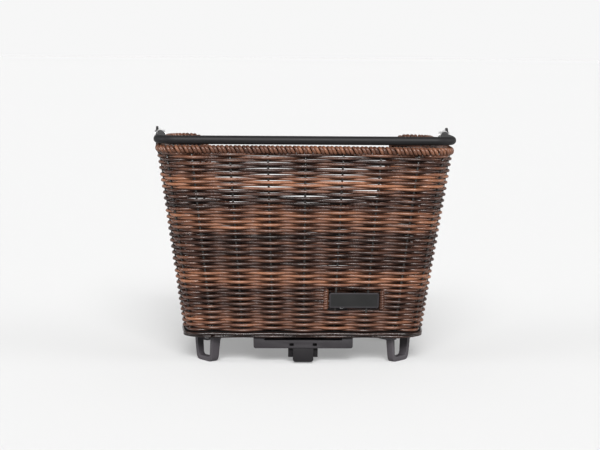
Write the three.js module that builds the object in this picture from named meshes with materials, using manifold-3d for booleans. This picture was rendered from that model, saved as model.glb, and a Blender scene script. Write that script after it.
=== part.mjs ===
// Bicycle basket for a rear rack: round strands woven on a welded wire skeleton, with a wrapped border,
// a folding tube handle, four strap feet and a click-on rack adapter with a sprung latch.
// Millimetres, +Z up, -Y is the side with the name plate, origin under the middle of the basket.
import * as THREE from 'three';
import { mergeVertices } from 'three/addons/utils/BufferGeometryUtils.js';
import Module from 'manifold-3d';

const wasm = await Module();
wasm.setup();
const { degToRad, lerp } = THREE.MathUtils;

// Basket body, measured on the middle of the wall, where the wires run
const RIM_WIDTH = 406;
const RIM_DEPTH = 302;
const RIM_CORNER = 32;
const RIM_Z = 307.5;
const BASE_WIDTH = 332;
const BASE_DEPTH = 226;
const BASE_CORNER = 26;
const BASE_Z = 44.3;
const WALL_THICKNESS = 10;
const FLOOR_THICKNESS = 9.4;
const BORDER_DIAMETER = 12;

// Dip in the back rim that leaves room for the saddle
const DIP_HALF_WIDTH = 167;
const DIP_DEPTH = 108;
const DIP_SHOULDER_RADIUS = 22;
const DIP_FLOOR_RADIUS = 38;
const DIP_SIDE_ANGLE = 78;

// Wire skeleton: rim hoop, base hoop, stakes up the walls and wires across the floor
const RIM_WIRE = 5;
const BASE_WIRE = 5;
const STAKE_WIRE = 3;
const FRONT_STAKES = 7;
const SIDE_STAKES = 4;
const FRONT_END_GAP = 13;
const SIDE_END_GAP = 41;
const CORNER_STAKE_ANGLE = 42;
const FLOOR_WIRE_OFFSET = 20.5;

// Weave of the wall: rows of strands that pass outside one stake and inside the next
const WEAVE_ROWS = 62;
const WEAVE_VALLEY = 2.3;

// Folding handle: bent tube with flattened eyes
const HANDLE_TUBE = 12;
const HANDLE_BEND = 25;
const HANDLE_OUTSET = 1.8;
const HANDLE_LIFT = 0.8;
const EYE_WIDTH = 15;
const EYE_THICKNESS = 4;
const EYE_FLAT = 16;
const EYE_BLEND = 26;

// Pivot brackets on the two ends
const BRACKET_THICKNESS = 3;
const BRACKET_WIDTH = 24;
const BRACKET_EAR_RADIUS = 11;
const BRACKET_JOG_GAP = 2;
const BRACKET_JOG = 13;
const BRACKET_TAIL = 48;
const BRACKET_SCREW_INSET = 12;
const BACKING_THICKNESS = 2;
const PIVOT_BOLT = 6;
const BRACKET_SCREW = 4;

// Proportions of screws and nuts, as shares of the thread's diameter
const HEAD_RADIUS_SHARE = 0.95;
const HEAD_HEIGHT_SHARE = 0.45;
const NUT_HEIGHT_SHARE = 0.8;
const CROWN_RADIUS_SHARE = 0.85;
const CROWN_HEIGHT_SHARE = 0.7;
const THREAD_END = 1;

// Strap feet across the bottom corners
const FOOT_INSET_X = 29;
const FOOT_INSET_Y = 29;
const FOOT_TURN = 51;
const FOOT_LENGTH = 46;
const FOOT_LEG_LEAN = 1.5;
const FOOT_STRAP = 6.5;
const FOOT_WIDE = 14;
const FOOT_NARROW = 10;
const FOOT_CORNER = 9;
const FOOT_FLANGE = 5;
const FOOT_FLARE = 4;
const FOOT_SCREW = 5;
const FOOT_WASHER = 18;
const FOOT_WASHER_THICKNESS = 1.5;

// Rack adapter under the floor
const ADAPTER_WIDTH = 141;
const ADAPTER_LENGTH = 216;
const ADAPTER_HEIGHT = 17;
const ADAPTER_FRONT_INSET = 1;
const ADAPTER_PAD_WIDTH = 15.5;
const ADAPTER_PAD_HEIGHT = 5.5;
const RAIL_WIDTH = 92;
const RAIL_MOUTH = 80;
const RAIL_LIP = 3;
const RAIL_DEPTH = 7.5;
const ADAPTER_BAR = 15;
const ADAPTER_BAR_WALL = 3.5;
const ADAPTER_WINDOW_SPACING = 33;
const ADAPTER_WINDOW_WIDTH = 6;
const ADAPTER_WINDOW_HEIGHT = 4;
const CLAMP_WIDTH = 145;
const CLAMP_LENGTH = 150;
const CLAMP_THICKNESS = 3;
const ADAPTER_SCREW = 4;
const ADAPTER_SCREW_SPACING = 120;
const ADAPTER_SCREW_BITE = 10;

// Latch lever with its tongue, two hooks, pin and return spring
const TONGUE_WIDTH = 29;
const TONGUE_THICKNESS = 4;
const TONGUE_FLOOR_GAP = 2.5;
const TONGUE_CORNER = 4;
const HOOK_WIDTH = 6.5;
const HOOK_RISE = 6;
const HOOK_REACH = 5;
const HOOK_THICKNESS = 5;
const HUB_DIAMETER = 7;
const HUB_GAP = 13;
const HUB_FRONT_GAP = 2;
const POCKET_ROOF = 2.5;
const POCKET_SIDE_GAP = 1.5;
const LATCH_PIN = 3;
const LATCH_PIN_LENGTH = 58;
const SPRING_WIRE = 0.8;
const SPRING_TURNS = 5;
const SPRING_PITCH = 1.5;

// Plain name plate in its window in the front wall
const PLATE_WIDTH = 70;
const PLATE_HEIGHT = 22;
const PLATE_THICKNESS = 2.5;
const PLATE_CORNER = 2.5;
const PLATE_SHIFT = 3.6;
const PLATE_Z = 93.5;
const WINDOW_HEIGHT = 32;
const WINDOW_SIDE_GAP = 0.8;
const PLATE_BACKING_HEIGHT = 14;
const PLATE_BOSS = 6;
const PLATE_BOSS_GAP = 11;
const PLATE_SCREW = 2.4;

// Clearance between pieces that touch, and how finely round shapes are cut
const FIT = 0.3;
const CUT_MARGIN = 3;
const JOIN_OVERLAP = 1;
const MERGE_TOLERANCE = 1e-4;
const ROUND_SIDES = 12;
const WIRE_SIDES = 8;
const STAKE_SIDES = 6;
const COIL_SIDES = 5;
const COIL_STEPS = 8;
const CORNER_STEPS = 5;
const ARC_SEGMENTS = 6;
const EYE_BLEND_STEPS = 3;
const EYE_END_ANGLES = [0, 30, 55, 75];

// Heights that follow from the sizes above
const FLOOR_BOTTOM = BASE_Z - FLOOR_THICKNESS / 2;
const FLOOR_TOP = BASE_Z + FLOOR_THICKNESS / 2;
const FOOT_TOP = FLOOR_BOTTOM - FIT;
const WALL_BOTTOM = BASE_Z + BASE_WIRE / 2 + FIT;
const BORDER_RADIUS = BORDER_DIAMETER / 2;
const WALL_TOP = RIM_Z - BORDER_RADIUS - FIT;
const PIVOT_Z = RIM_Z + BORDER_RADIUS + HANDLE_LIFT + HANDLE_TUBE / 2;

const WICKER = { color: 0x6e4b3e, roughness: 0.5, metalness: 0 };
const BLACK_WIRE = { color: 0x1c1c1e, roughness: 0.5, metalness: 0.3 };
const BLACK_TUBE = { color: 0x38383b, roughness: 0.35, metalness: 0.4 };
const BLACK_PLASTIC = { color: 0x2e2e31, roughness: 0.6, metalness: 0 };
const STEEL = { color: 0x8c8e92, roughness: 0.35, metalness: 0.9 };

const basket = new THREE.Group();

function piece(name, geometry, finish, parent = basket) {
  const mesh = new THREE.Mesh(geometry, new THREE.MeshStandardMaterial(finish));
  mesh.name = name;
  parent.add(mesh);
  return mesh;
}

// Closed solids and the geometry that comes back from a join or a cut

function solid(geometry) {
  const bare = new THREE.BufferGeometry();
  bare.setAttribute('position', geometry.getAttribute('position'));
  bare.setIndex(geometry.getIndex());
  const merged = mergeVertices(bare, MERGE_TOLERANCE);
  return new wasm.Manifold(
    new wasm.Mesh({
      numProp: 3,
      vertProperties: new Float32Array(merged.getAttribute('position').array),
      triVerts: new Uint32Array(merged.getIndex().array),
    }),
  );
}

function geometryOf(manifold) {
  const mesh = manifold.getMesh();
  const geometry = new THREE.BufferGeometry();
  geometry.setAttribute('position', new THREE.BufferAttribute(mesh.vertProperties, 3));
  geometry.setIndex(new THREE.BufferAttribute(mesh.triVerts, 1));
  return geometry;
}

function cut(geometry, cutters) {
  return geometryOf(cutters.reduce((body, tool) => body.subtract(solid(tool)), solid(geometry)));
}

function join(geometries) {
  return geometryOf(geometries.map(solid).reduce((body, other) => body.add(other)));
}

function overlapOf(a, b) {
  return geometryOf(solid(a).intersect(solid(b)));
}

// A closed surface through rings of points: a hoop, or a length capped at both ends.
// Its quads are cut in two along one diagonal, or along the other one where that is asked for.
function skin(rings, hoop, otherDiagonal = () => false) {
  const sides = rings[0].length;
  const spans = hoop ? rings.length : rings.length - 1;
  const index = [];
  for (let i = 0; i < spans; i++) {
    const a = i * sides;
    const b = ((i + 1) % rings.length) * sides;
    for (let k = 0; k < sides; k++) {
      const n = (k + 1) % sides;
      if (otherDiagonal(i, k)) index.push(a + k, b + k, a + n, b + k, b + n, a + n);
      else index.push(a + k, b + k, b + n, a + k, b + n, a + n);
    }
  }
  const last = (rings.length - 1) * sides;
  for (let k = 1; !hoop && k < sides - 1; k++) {
    index.push(0, k, k + 1, last, last + k + 1, last + k);
  }
  const points = rings.flat();
  let volume = 0;
  for (let i = 0; i < index.length; i += 3) {
    const [a, b, c] = [points[index[i]], points[index[i + 1]], points[index[i + 2]]];
    volume += a.dot(new THREE.Vector3().crossVectors(b, c));
  }
  const geometry = new THREE.BufferGeometry().setFromPoints(points);
  geometry.setIndex(volume < 0 ? index.reverse() : index);
  return geometry;
}

// A round rod between two points
function rod(start, end, radius, sides) {
  const along = new THREE.Vector3().subVectors(end, start);
  const geometry = new THREE.CylinderGeometry(radius, radius, along.length(), sides);
  const turn = new THREE.Quaternion().setFromUnitVectors(new THREE.Vector3(0, 1, 0), along.normalize());
  geometry.applyQuaternion(turn);
  const middle = new THREE.Vector3().addVectors(start, end).multiplyScalar(0.5);
  return geometry.translate(middle.x, middle.y, middle.z);
}

function rodX(radius, x0, x1, y, z, sides = ROUND_SIDES) {
  return rod(new THREE.Vector3(x0, y, z), new THREE.Vector3(x1, y, z), radius, sides);
}

function rodY(radius, x, y0, y1, z, sides = ROUND_SIDES) {
  return rod(new THREE.Vector3(x, y0, z), new THREE.Vector3(x, y1, z), radius, sides);
}

function rodZ(radius, x, y, z0, z1, sides = ROUND_SIDES) {
  return rod(new THREE.Vector3(x, y, z0), new THREE.Vector3(x, y, z1), radius, sides);
}

function block(x0, x1, y0, y1, z0, z1) {
  const geometry = new THREE.BoxGeometry(x1 - x0, y1 - y0, z1 - z0);
  return geometry.translate((x0 + x1) / 2, (y0 + y1) / 2, (z0 + z1) / 2);
}

function roundedRectangle(width, height, radius) {
  const shape = new THREE.Shape();
  const x = width / 2 - radius;
  const y = height / 2 - radius;
  shape.absarc(x, -y, radius, -Math.PI / 2, 0);
  shape.absarc(x, y, radius, 0, Math.PI / 2);
  shape.absarc(-x, y, radius, Math.PI / 2, Math.PI);
  shape.absarc(-x, -y, radius, Math.PI, 1.5 * Math.PI);
  return shape;
}

function extrude(shape, depth, curveSegments = ARC_SEGMENTS) {
  return new THREE.ExtrudeGeometry(shape, { depth, bevelEnabled: false, curveSegments });
}

// A shape drawn in X and Z, extruded from the front face at y towards the back
function extrudeBack(shape, y, depth) {
  return extrude(shape, depth).rotateX(Math.PI / 2).translate(0, y + depth, 0);
}

// A shape drawn in Y and Z, extruded from x towards the right
function extrudeRight(shape, x, depth) {
  return extrude(shape, depth).rotateX(Math.PI / 2).rotateZ(Math.PI / 2).translate(x, 0, 0);
}

// A screw or bolt standing on +Z: its shank ends at z = 0 and its domed head sits on z = length
function screwGeometry(diameter, length) {
  const headRadius = diameter * HEAD_RADIUS_SHARE;
  const headHeight = diameter * HEAD_HEIGHT_SHARE;
  const profile = [
    [0, 0],
    [diameter / 2, 0],
    [diameter / 2, length],
    [headRadius, length],
    [headRadius * CROWN_RADIUS_SHARE, length + headHeight * CROWN_HEIGHT_SHARE],
    [0, length + headHeight],
  ].map(([r, h]) => new THREE.Vector2(r, h));
  return new THREE.LatheGeometry(profile, ROUND_SIDES).rotateX(Math.PI / 2);
}

// A hexagon nut on z = 0 with room for its screw
function nutGeometry(diameter, height) {
  const shape = new THREE.Shape();
  const radius = diameter * HEAD_RADIUS_SHARE;
  for (let i = 0; i < 6; i++) {
    const angle = (i * Math.PI) / 3;
    const corner = [radius * Math.cos(angle), radius * Math.sin(angle)];
    if (i === 0) shape.moveTo(...corner);
    else shape.lineTo(...corner);
  }
  shape.holes.push(new THREE.Path().absarc(0, 0, diameter / 2 + FIT, 0, 2 * Math.PI, true));
  return extrude(shape, height, ROUND_SIDES);
}

// Form of the basket: a rounded rectangle that narrows steadily from the rim to the base

function levelAt(z) {
  const share = (z - BASE_Z) / (RIM_Z - BASE_Z);
  return {
    halfWidth: lerp(BASE_WIDTH, RIM_WIDTH, share) / 2,
    halfDepth: lerp(BASE_DEPTH, RIM_DEPTH, share) / 2,
    corner: lerp(BASE_CORNER, RIM_CORNER, share),
  };
}

// A station is a place round the wall: shares of the straight sides and the direction it faces
function wallPoint(station, z, outward = 0) {
  const { halfWidth, halfDepth, corner } = levelAt(z);
  return new THREE.Vector3(
    station.u * (halfWidth - corner) + station.facing.x * (corner + outward),
    station.v * (halfDepth - corner) + station.facing.y * (corner + outward),
    z,
  );
}

function cornerStation(quarter, degrees) {
  const angle = degToRad(90 * quarter - 90 + degrees);
  const signs = [[1, -1], [1, 1], [-1, 1], [-1, -1]][quarter];
  return { u: signs[0], v: signs[1], facing: new THREE.Vector2(Math.cos(angle), Math.sin(angle)) };
}

function cornerStations(quarter) {
  return Array.from({ length: CORNER_STEPS + 1 }, (_, i) => cornerStation(quarter, (90 * i) / CORNER_STEPS));
}

const frontStation = (u) => ({ u, v: -1, facing: new THREE.Vector2(0, -1) });
const backStation = (u) => ({ u, v: 1, facing: new THREE.Vector2(0, 1) });
const rightStation = (v) => ({ u: 1, v, facing: new THREE.Vector2(1, 0) });
const leftStation = (v) => ({ u: -1, v, facing: new THREE.Vector2(-1, 0) });

// The dip from its right shoulder to its left one, moved down into the wall by inset
function dipLine(inset) {
  const steep = degToRad(DIP_SIDE_ANGLE);
  const radii = DIP_SHOULDER_RADIUS + DIP_FLOOR_RADIUS;
  const sideDrop = DIP_DEPTH - radii * (1 - Math.cos(steep));
  const floorHalf = DIP_HALF_WIDTH - radii * Math.sin(steep) - sideDrop / Math.tan(steep);
  const half = [];
  for (let i = 0; i <= CORNER_STEPS; i++) {
    const angle = (steep * i) / CORNER_STEPS;
    const radius = DIP_SHOULDER_RADIUS - inset;
    half.push([DIP_HALF_WIDTH - radius * Math.sin(angle), DIP_SHOULDER_RADIUS - radius * Math.cos(angle)]);
  }
  for (let i = CORNER_STEPS; i >= 0; i--) {
    const angle = (steep * i) / CORNER_STEPS;
    const radius = DIP_FLOOR_RADIUS + inset;
    half.push([floorHalf + radius * Math.sin(angle), DIP_DEPTH - DIP_FLOOR_RADIUS + radius * Math.cos(angle)]);
  }
  const whole = [...half, ...half.map(([x, drop]) => [-x, drop]).reverse()];
  return whole.map(([x, drop]) => {
    const z = RIM_Z - drop;
    const { halfWidth, corner } = levelAt(z);
    return { station: backStation(x / (halfWidth - corner)), z };
  });
}

// The whole rim, anticlockwise from the front right corner
function rimLine(inset) {
  const level = (quarter) => cornerStations(quarter).map((station) => ({ station, z: RIM_Z - inset }));
  return [...level(0), ...level(1), ...dipLine(inset), ...level(2), ...level(3)];
}

function hoopLine(z) {
  return [0, 1, 2, 3].flatMap(cornerStations).map((station) => ({ station, z }));
}

// Points of a line on the wall, each with the directions out of the wall and down along it
function lineFrames(line) {
  const points = line.map(({ station, z }) => wallPoint(station, z));
  return line.map(({ station, z }, i) => {
    const next = points[(i + 1) % points.length];
    const before = points[(i + points.length - 1) % points.length];
    const along = new THREE.Vector3().subVectors(next, before).normalize();
    const up = wallPoint(station, z + 1).sub(points[i]).normalize();
    const out = new THREE.Vector3().crossVectors(along, up).normalize();
    const down = new THREE.Vector3().crossVectors(along, out).normalize();
    return { at: points[i], out, down };
  });
}

// A hoop whose section is drawn in (out, down) round a line on the wall
function hoop(line, section) {
  return skin(
    lineFrames(line).map(({ at, out, down }) =>
      section.map(([x, y]) => at.clone().addScaledVector(out, x).addScaledVector(down, y)),
    ),
    true,
  );
}

function arcPoints(radius, start, end, steps) {
  return Array.from({ length: steps + 1 }, (_, i) => {
    const angle = lerp(start, end, i / steps);
    return [radius * Math.sin(angle), radius * Math.cos(angle)];
  });
}

// Stakes stand on the base hoop and end on the rim hoop

function stakeTop(station) {
  const line = dipLine(0);
  for (let i = 1; i < line.length && station.facing.y === 1; i++) {
    const [right, left] = [line[i - 1], line[i]];
    if (station.u <= right.station.u && station.u >= left.station.u) {
      const share = (right.station.u - station.u) / (right.station.u - left.station.u);
      return lerp(right.z, left.z, share);
    }
  }
  return RIM_Z;
}

function stakeShares(count, straight, endGap) {
  return Array.from({ length: count }, (_, i) => ((2 * i) / (count - 1) - 1) * (1 - endGap / straight));
}

const frontShares = stakeShares(FRONT_STAKES, RIM_WIDTH / 2 - RIM_CORNER, FRONT_END_GAP);
const sideShares = stakeShares(SIDE_STAKES, RIM_DEPTH / 2 - RIM_CORNER, SIDE_END_GAP);

// Columns round the wall, anticlockwise from the left end of the front: the stakes, and more in the corners.
// Beats count the stakes, so they tell how far a column is from one stake to the next.
function cornerColumns(quarter, beat) {
  const early = [0, 0.5, 1, 1.5, 2].map((turn, i) => ({ turn, beat: [-2 / 3, -1 / 3, 0, 0.5, 1][i] }));
  const late = early.map((column) => ({ turn: 90 / CORNER_STAKE_ANGLE - column.turn, beat: 1 - column.beat }));
  return (quarter % 2 ? late.reverse() : early).map((column) => ({
    station: cornerStation(quarter, column.turn * CORNER_STAKE_ANGLE),
    beat: beat + column.beat,
  }));
}

const columns = [];
for (const [quarter, shares, station] of [
  [0, frontShares, frontStation],
  [1, sideShares, rightStation],
  [2, frontShares, (u) => backStation(-u)],
  [3, sideShares, (v) => leftStation(-v)],
]) {
  const start = columns.filter((column) => Number.isInteger(column.beat)).length;
  columns.push(...shares.map((share, i) => ({ station: station(share), beat: start + i })));
  columns.push(...cornerColumns(quarter, start + shares.length));
}
const stakes = columns
  .filter((column) => Number.isInteger(column.beat))
  .map(({ station }) => ({ station, top: stakeTop(station) }));

// Screw places that the floor and its wires keep clear of
const base = levelAt(BASE_Z);
const footPlaces = [
  { name: 'front_left', x: -1, y: -1, turn: 0 },
  { name: 'front_right', x: 1, y: -1, turn: 1 },
  { name: 'back_right', x: 1, y: 1, turn: 0 },
  { name: 'back_left', x: -1, y: 1, turn: 1 },
].map((place) => ({
  ...place,
  x: place.x * (base.halfWidth - FOOT_INSET_X),
  y: place.y * (base.halfDepth - FOOT_INSET_Y),
}));
const adapterFront = -base.halfDepth + ADAPTER_FRONT_INSET;
const adapterBack = adapterFront + ADAPTER_LENGTH;
const adapterMiddle = (adapterFront + adapterBack) / 2;
const adapterScrewX = ADAPTER_WIDTH / 2 - ADAPTER_PAD_WIDTH / 2;
const adapterScrewPlaces = [
  { name: 'front_left', x: -adapterScrewX, y: adapterMiddle - ADAPTER_SCREW_SPACING / 2 },
  { name: 'front_right', x: adapterScrewX, y: adapterMiddle - ADAPTER_SCREW_SPACING / 2 },
  { name: 'back_right', x: adapterScrewX, y: adapterMiddle + ADAPTER_SCREW_SPACING / 2 },
  { name: 'back_left', x: -adapterScrewX, y: adapterMiddle + ADAPTER_SCREW_SPACING / 2 },
];
const floorWireX = [
  0,
  adapterScrewX - FLOOR_WIRE_OFFSET,
  adapterScrewX + FLOOR_WIRE_OFFSET,
  base.halfWidth - FOOT_INSET_X - FOOT_SCREW - STAKE_WIRE,
].flatMap((x) => (x === 0 ? [0] : [-x, x]));

function floorWires(radius) {
  return floorWireX.map((x) => rodY(radius, x, -base.halfDepth, base.halfDepth, BASE_Z, STAKE_SIDES));
}

function stakeRods(radius, bottom, above) {
  return stakes.map(({ station, top }) =>
    rod(wallPoint(station, bottom), wallPoint(station, top + above), radius, STAKE_SIDES),
  );
}

// Welded wire skeleton
piece(
  'wire_frame',
  join([
    hoop(rimLine(0), arcPoints(RIM_WIRE / 2, 0, 2 * Math.PI, WIRE_SIDES).slice(1)),
    hoop(hoopLine(BASE_Z), arcPoints(BASE_WIRE / 2, 0, 2 * Math.PI, WIRE_SIDES).slice(1)),
    ...stakeRods(STAKE_WIRE / 2, BASE_Z, 0),
    ...floorWires(STAKE_WIRE / 2),
  ]),
  BLACK_WIRE,
);

// Side hardware is drawn for the right end and turned half round for the left one.
// Its screws stand square to the leaning wall, in a frame whose X points out of the wall.
const sideLean = Math.atan((RIM_WIDTH - BASE_WIDTH) / 2 / (RIM_Z - BASE_Z));
const bracketX = RIM_WIDTH / 2 + HANDLE_OUTSET + HANDLE_TUBE / 2 + FIT;
const jogTop = RIM_Z - BORDER_RADIUS - BRACKET_JOG_GAP;
const jogBottom = jogTop - BRACKET_JOG;
const tailEnd = jogBottom - BRACKET_TAIL;
const bracketScrewZ = { upper: jogBottom - BRACKET_SCREW_INSET, lower: tailEnd + BRACKET_SCREW_INSET };
const wallOuter = (z) => levelAt(z).halfWidth + WALL_THICKNESS / 2;

function sideFrame(z) {
  const frame = new THREE.Matrix4().makeRotationY(sideLean);
  return frame.setPosition(levelAt(z).halfWidth, 0, z);
}

const halfTurn = new THREE.Matrix4().makeRotationZ(Math.PI);
const sideReach = (WALL_THICKNESS / 2) * Math.cos(sideLean);
const bracketFace = sideReach + (FIT + BRACKET_THICKNESS) * Math.cos(sideLean);
const backingFace = -sideReach - FIT - BACKING_THICKNESS;
const bracketNutHeight = BRACKET_SCREW * NUT_HEIGHT_SHARE;

function bracketScrewHole(z) {
  const reach = WALL_THICKNESS + BRACKET_THICKNESS + BRACKET_JOG;
  return rodX(BRACKET_SCREW / 2 + FIT, -reach, reach, 0, 0).applyMatrix4(sideFrame(z));
}

const bracketHoles = Object.values(bracketScrewZ).map(bracketScrewHole);

// Woven wall, with a channel for each stake, the plate window and the bracket screw holes
const frontLean = Math.atan((RIM_DEPTH - BASE_DEPTH) / 2 / (RIM_Z - BASE_Z));
const middleStake = (FRONT_STAKES - 1) / 2;
const plateStakes = [1, 2].map((i) => wallPoint(frontStation(frontShares[middleStake + i]), PLATE_Z).x);
const plateX = (plateStakes[0] + plateStakes[1]) / 2 + PLATE_SHIFT;
const plateFrame = new THREE.Group();
plateFrame.position.set(plateX, -levelAt(PLATE_Z).halfDepth, PLATE_Z);
plateFrame.rotation.x = frontLean;
plateFrame.updateMatrix();
basket.add(plateFrame);

const windowHalf = PLATE_WIDTH / 2 + WINDOW_SIDE_GAP;
const windowCut = block(
  -windowHalf,
  windowHalf,
  -WALL_THICKNESS,
  WALL_THICKNESS,
  -WINDOW_HEIGHT / 2,
  WINDOW_HEIGHT / 2,
).applyMatrix4(plateFrame.matrix);

// The outside of the wall is a field of long low points, one for each strand that passes outside a stake
const rowPitch = (WALL_TOP - WALL_BOTTOM) / WEAVE_ROWS;
const weaveRows = [-0.5, ...Array.from({ length: WEAVE_ROWS }, (_, row) => row), WEAVE_ROWS - 0.5];
const weaveFaces = columns.map(({ beat }) =>
  weaveRows.map((row) => {
    const lean = Math.cos(Math.PI * (beat + row));
    return lerp(WEAVE_VALLEY, WALL_THICKNESS / 2, (1 + lean) / 2);
  }),
);
const wallRings = columns.map(({ station }, i) => [
  ...weaveRows.map((row, k) => wallPoint(station, WALL_BOTTOM + rowPitch * (row + 0.5), weaveFaces[i][k])),
  wallPoint(station, WALL_TOP, -WALL_THICKNESS / 2),
  wallPoint(station, WALL_BOTTOM, -WALL_THICKNESS / 2),
]);

// It is creased along its valleys, so each point stays a point
const alongValley = (i, k) => {
  const [here, there] = [weaveFaces[i], weaveFaces[(i + 1) % columns.length]];
  return k + 1 < weaveRows.length && here[k] + there[k + 1] > here[k + 1] + there[k];
};

const dipShape = new THREE.Shape(
  [
    [DIP_HALF_WIDTH, RIM_Z],
    ...dipLine(BORDER_RADIUS + FIT).map(({ station, z }) => [wallPoint(station, z).x, z]),
    [-DIP_HALF_WIDTH, RIM_Z],
  ].map(([x, z]) => new THREE.Vector2(x, z)),
);
piece(
  'woven_wall',
  cut(skin(wallRings, true, alongValley), [
    extrudeBack(dipShape, 0, RIM_DEPTH),
    ...stakeRods(STAKE_WIRE / 2 + FIT, WALL_BOTTOM - CUT_MARGIN, CUT_MARGIN),
    windowCut,
    ...bracketHoles,
    ...bracketHoles.map((hole) => hole.clone().applyMatrix4(halfTurn)),
  ]),
  WICKER,
);

// Wrapped border: a ring round the rim wire, open below where the stakes come up
const borderBore = RIM_WIRE / 2 + FIT;
const slotHalf = STAKE_WIRE / 2 + 2 * FIT;
const outerMouth = Math.asin(slotHalf / BORDER_RADIUS);
const innerMouth = Math.asin(slotHalf / borderBore);
piece(
  'rim_border',
  hoop(rimLine(0), [
    ...arcPoints(BORDER_RADIUS, outerMouth, 2 * Math.PI - outerMouth, ROUND_SIDES - 2),
    ...arcPoints(borderBore, 2 * Math.PI - innerMouth, innerMouth, WIRE_SIDES - 2),
  ]),
  WICKER,
);

// Woven floor inside the base hoop
const floorEdge = levelAt(WALL_BOTTOM);
const floorInset = WALL_THICKNESS / 2 + 2 * FIT;
const floorHole = ({ x, y }, diameter) =>
  rodZ(diameter / 2 + FIT, x, y, FLOOR_BOTTOM - CUT_MARGIN, FLOOR_TOP + CUT_MARGIN);
const floorSlab = extrude(
  roundedRectangle(
    2 * (floorEdge.halfWidth - floorInset),
    2 * (floorEdge.halfDepth - floorInset),
    floorEdge.corner - floorInset,
  ),
  FLOOR_THICKNESS,
).translate(0, 0, FLOOR_BOTTOM);
piece(
  'woven_floor',
  cut(floorSlab, [
    ...floorWires(STAKE_WIRE / 2 + FIT),
    ...footPlaces.map((place) => floorHole(place, FOOT_SCREW)),
    ...adapterScrewPlaces.map((place) => floorHole(place, ADAPTER_SCREW)),
  ]),
  WICKER,
);

// Folding handle, drawn folded forward: the tube is pressed flat into an eye at each end
const handleX = RIM_WIDTH / 2 + HANDLE_OUTSET;
const handleFront = -RIM_DEPTH / 2 - BORDER_RADIUS + HANDLE_TUBE / 2;
const tubeRadius = HANDLE_TUBE / 2;

function tubeRing(x, y, heading, halfThickness, halfWidth, shift) {
  return Array.from({ length: ROUND_SIDES }, (_, i) => {
    const angle = (2 * Math.PI * i) / ROUND_SIDES;
    const across = THREE.MathUtils.clamp(tubeRadius * Math.cos(angle), -halfThickness, halfThickness) + shift;
    return new THREE.Vector3(
      x + across * Math.cos(heading),
      y + across * Math.sin(heading),
      PIVOT_Z + halfWidth * Math.sin(angle),
    );
  });
}

function handleHalf() {
  const rings = [];
  for (let i = 0; i <= CORNER_STEPS; i++) {
    const angle = (Math.PI / 2) * (i / CORNER_STEPS - 1);
    const x = handleX - HANDLE_BEND + HANDLE_BEND * Math.cos(angle);
    const y = handleFront + HANDLE_BEND + HANDLE_BEND * Math.sin(angle);
    rings.push(tubeRing(x, y, angle, tubeRadius, tubeRadius, 0));
  }
  for (let i = 0; i <= EYE_BLEND_STEPS; i++) {
    const share = i / EYE_BLEND_STEPS;
    const halfThickness = lerp(tubeRadius, EYE_THICKNESS / 2, share);
    const halfWidth = lerp(tubeRadius, EYE_WIDTH / 2, share);
    const y = -EYE_FLAT - EYE_BLEND * (1 - share);
    rings.push(tubeRing(handleX, y, 0, halfThickness, halfWidth, tubeRadius - halfThickness));
  }
  for (const degrees of EYE_END_ANGLES) {
    const halfWidth = (EYE_WIDTH / 2) * Math.cos(degToRad(degrees));
    const y = (EYE_WIDTH / 2) * Math.sin(degToRad(degrees));
    rings.push(tubeRing(handleX, y, 0, EYE_THICKNESS / 2, halfWidth, tubeRadius - EYE_THICKNESS / 2));
  }
  return rings;
}

function mirrored(ring) {
  return ring.map((point) => new THREE.Vector3(-point.x, point.y, point.z));
}

const rightHalf = handleHalf();
const handleRings = [...rightHalf.map(mirrored).reverse(), ...rightHalf];
const pivotHole = rodX(PIVOT_BOLT / 2 + FIT, -bracketX, bracketX, 0, PIVOT_Z);
piece('handle_tube', cut(skin(handleRings, false), [pivotHole]), BLACK_TUBE);

// Pivot bracket: a steel strip up the outside of the wall, jogged out past the border to the handle's eye
const bracketProfile = [
  [bracketX, PIVOT_Z + BRACKET_EAR_RADIUS],
  [bracketX, jogTop],
  [wallOuter(jogBottom) + FIT, jogBottom],
  [wallOuter(tailEnd) + FIT, tailEnd],
];
const bracketSide = new THREE.Shape(
  [
    ...bracketProfile,
    ...bracketProfile.map(([x, z]) => [x + BRACKET_THICKNESS, z]).reverse(),
  ].map(([x, z]) => new THREE.Vector2(x, z)),
);
const bracketFront = new THREE.Shape();
const tailRound = BRACKET_SCREW_INSET / 2;
const bracketHalf = BRACKET_WIDTH / 2;
bracketFront.absarc(bracketHalf - tailRound, tailEnd + tailRound, tailRound, -Math.PI / 2, 0);
bracketFront.lineTo(bracketHalf, jogTop);
bracketFront.absarc(0, PIVOT_Z, BRACKET_EAR_RADIUS, 0, Math.PI);
bracketFront.lineTo(-bracketHalf, jogTop);
bracketFront.absarc(-bracketHalf + tailRound, tailEnd + tailRound, tailRound, Math.PI, 1.5 * Math.PI);
const bracketReach = bracketX - wallOuter(tailEnd) + BRACKET_THICKNESS + 2 * CUT_MARGIN;
const bracketBlank = overlapOf(
  extrudeBack(bracketSide, -bracketHalf, BRACKET_WIDTH),
  extrudeRight(bracketFront, wallOuter(tailEnd) - CUT_MARGIN, bracketReach),
);
const bracketGeometry = cut(bracketBlank, [
  rodX(PIVOT_BOLT / 2 + FIT, bracketX - CUT_MARGIN, bracketX + BRACKET_THICKNESS + CUT_MARGIN, 0, PIVOT_Z),
  ...bracketHoles,
]);
const backingHeight = bracketScrewZ.upper - bracketScrewZ.lower + 2 * BRACKET_SCREW_INSET;
const backingMiddle = (bracketScrewZ.upper + bracketScrewZ.lower) / 2;
const screwStep = (bracketScrewZ.upper - bracketScrewZ.lower) / 2 / Math.cos(sideLean);
const eyeInner = handleX + tubeRadius - EYE_THICKNESS;
const pivotNutHeight = PIVOT_BOLT * NUT_HEIGHT_SHARE;

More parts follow.
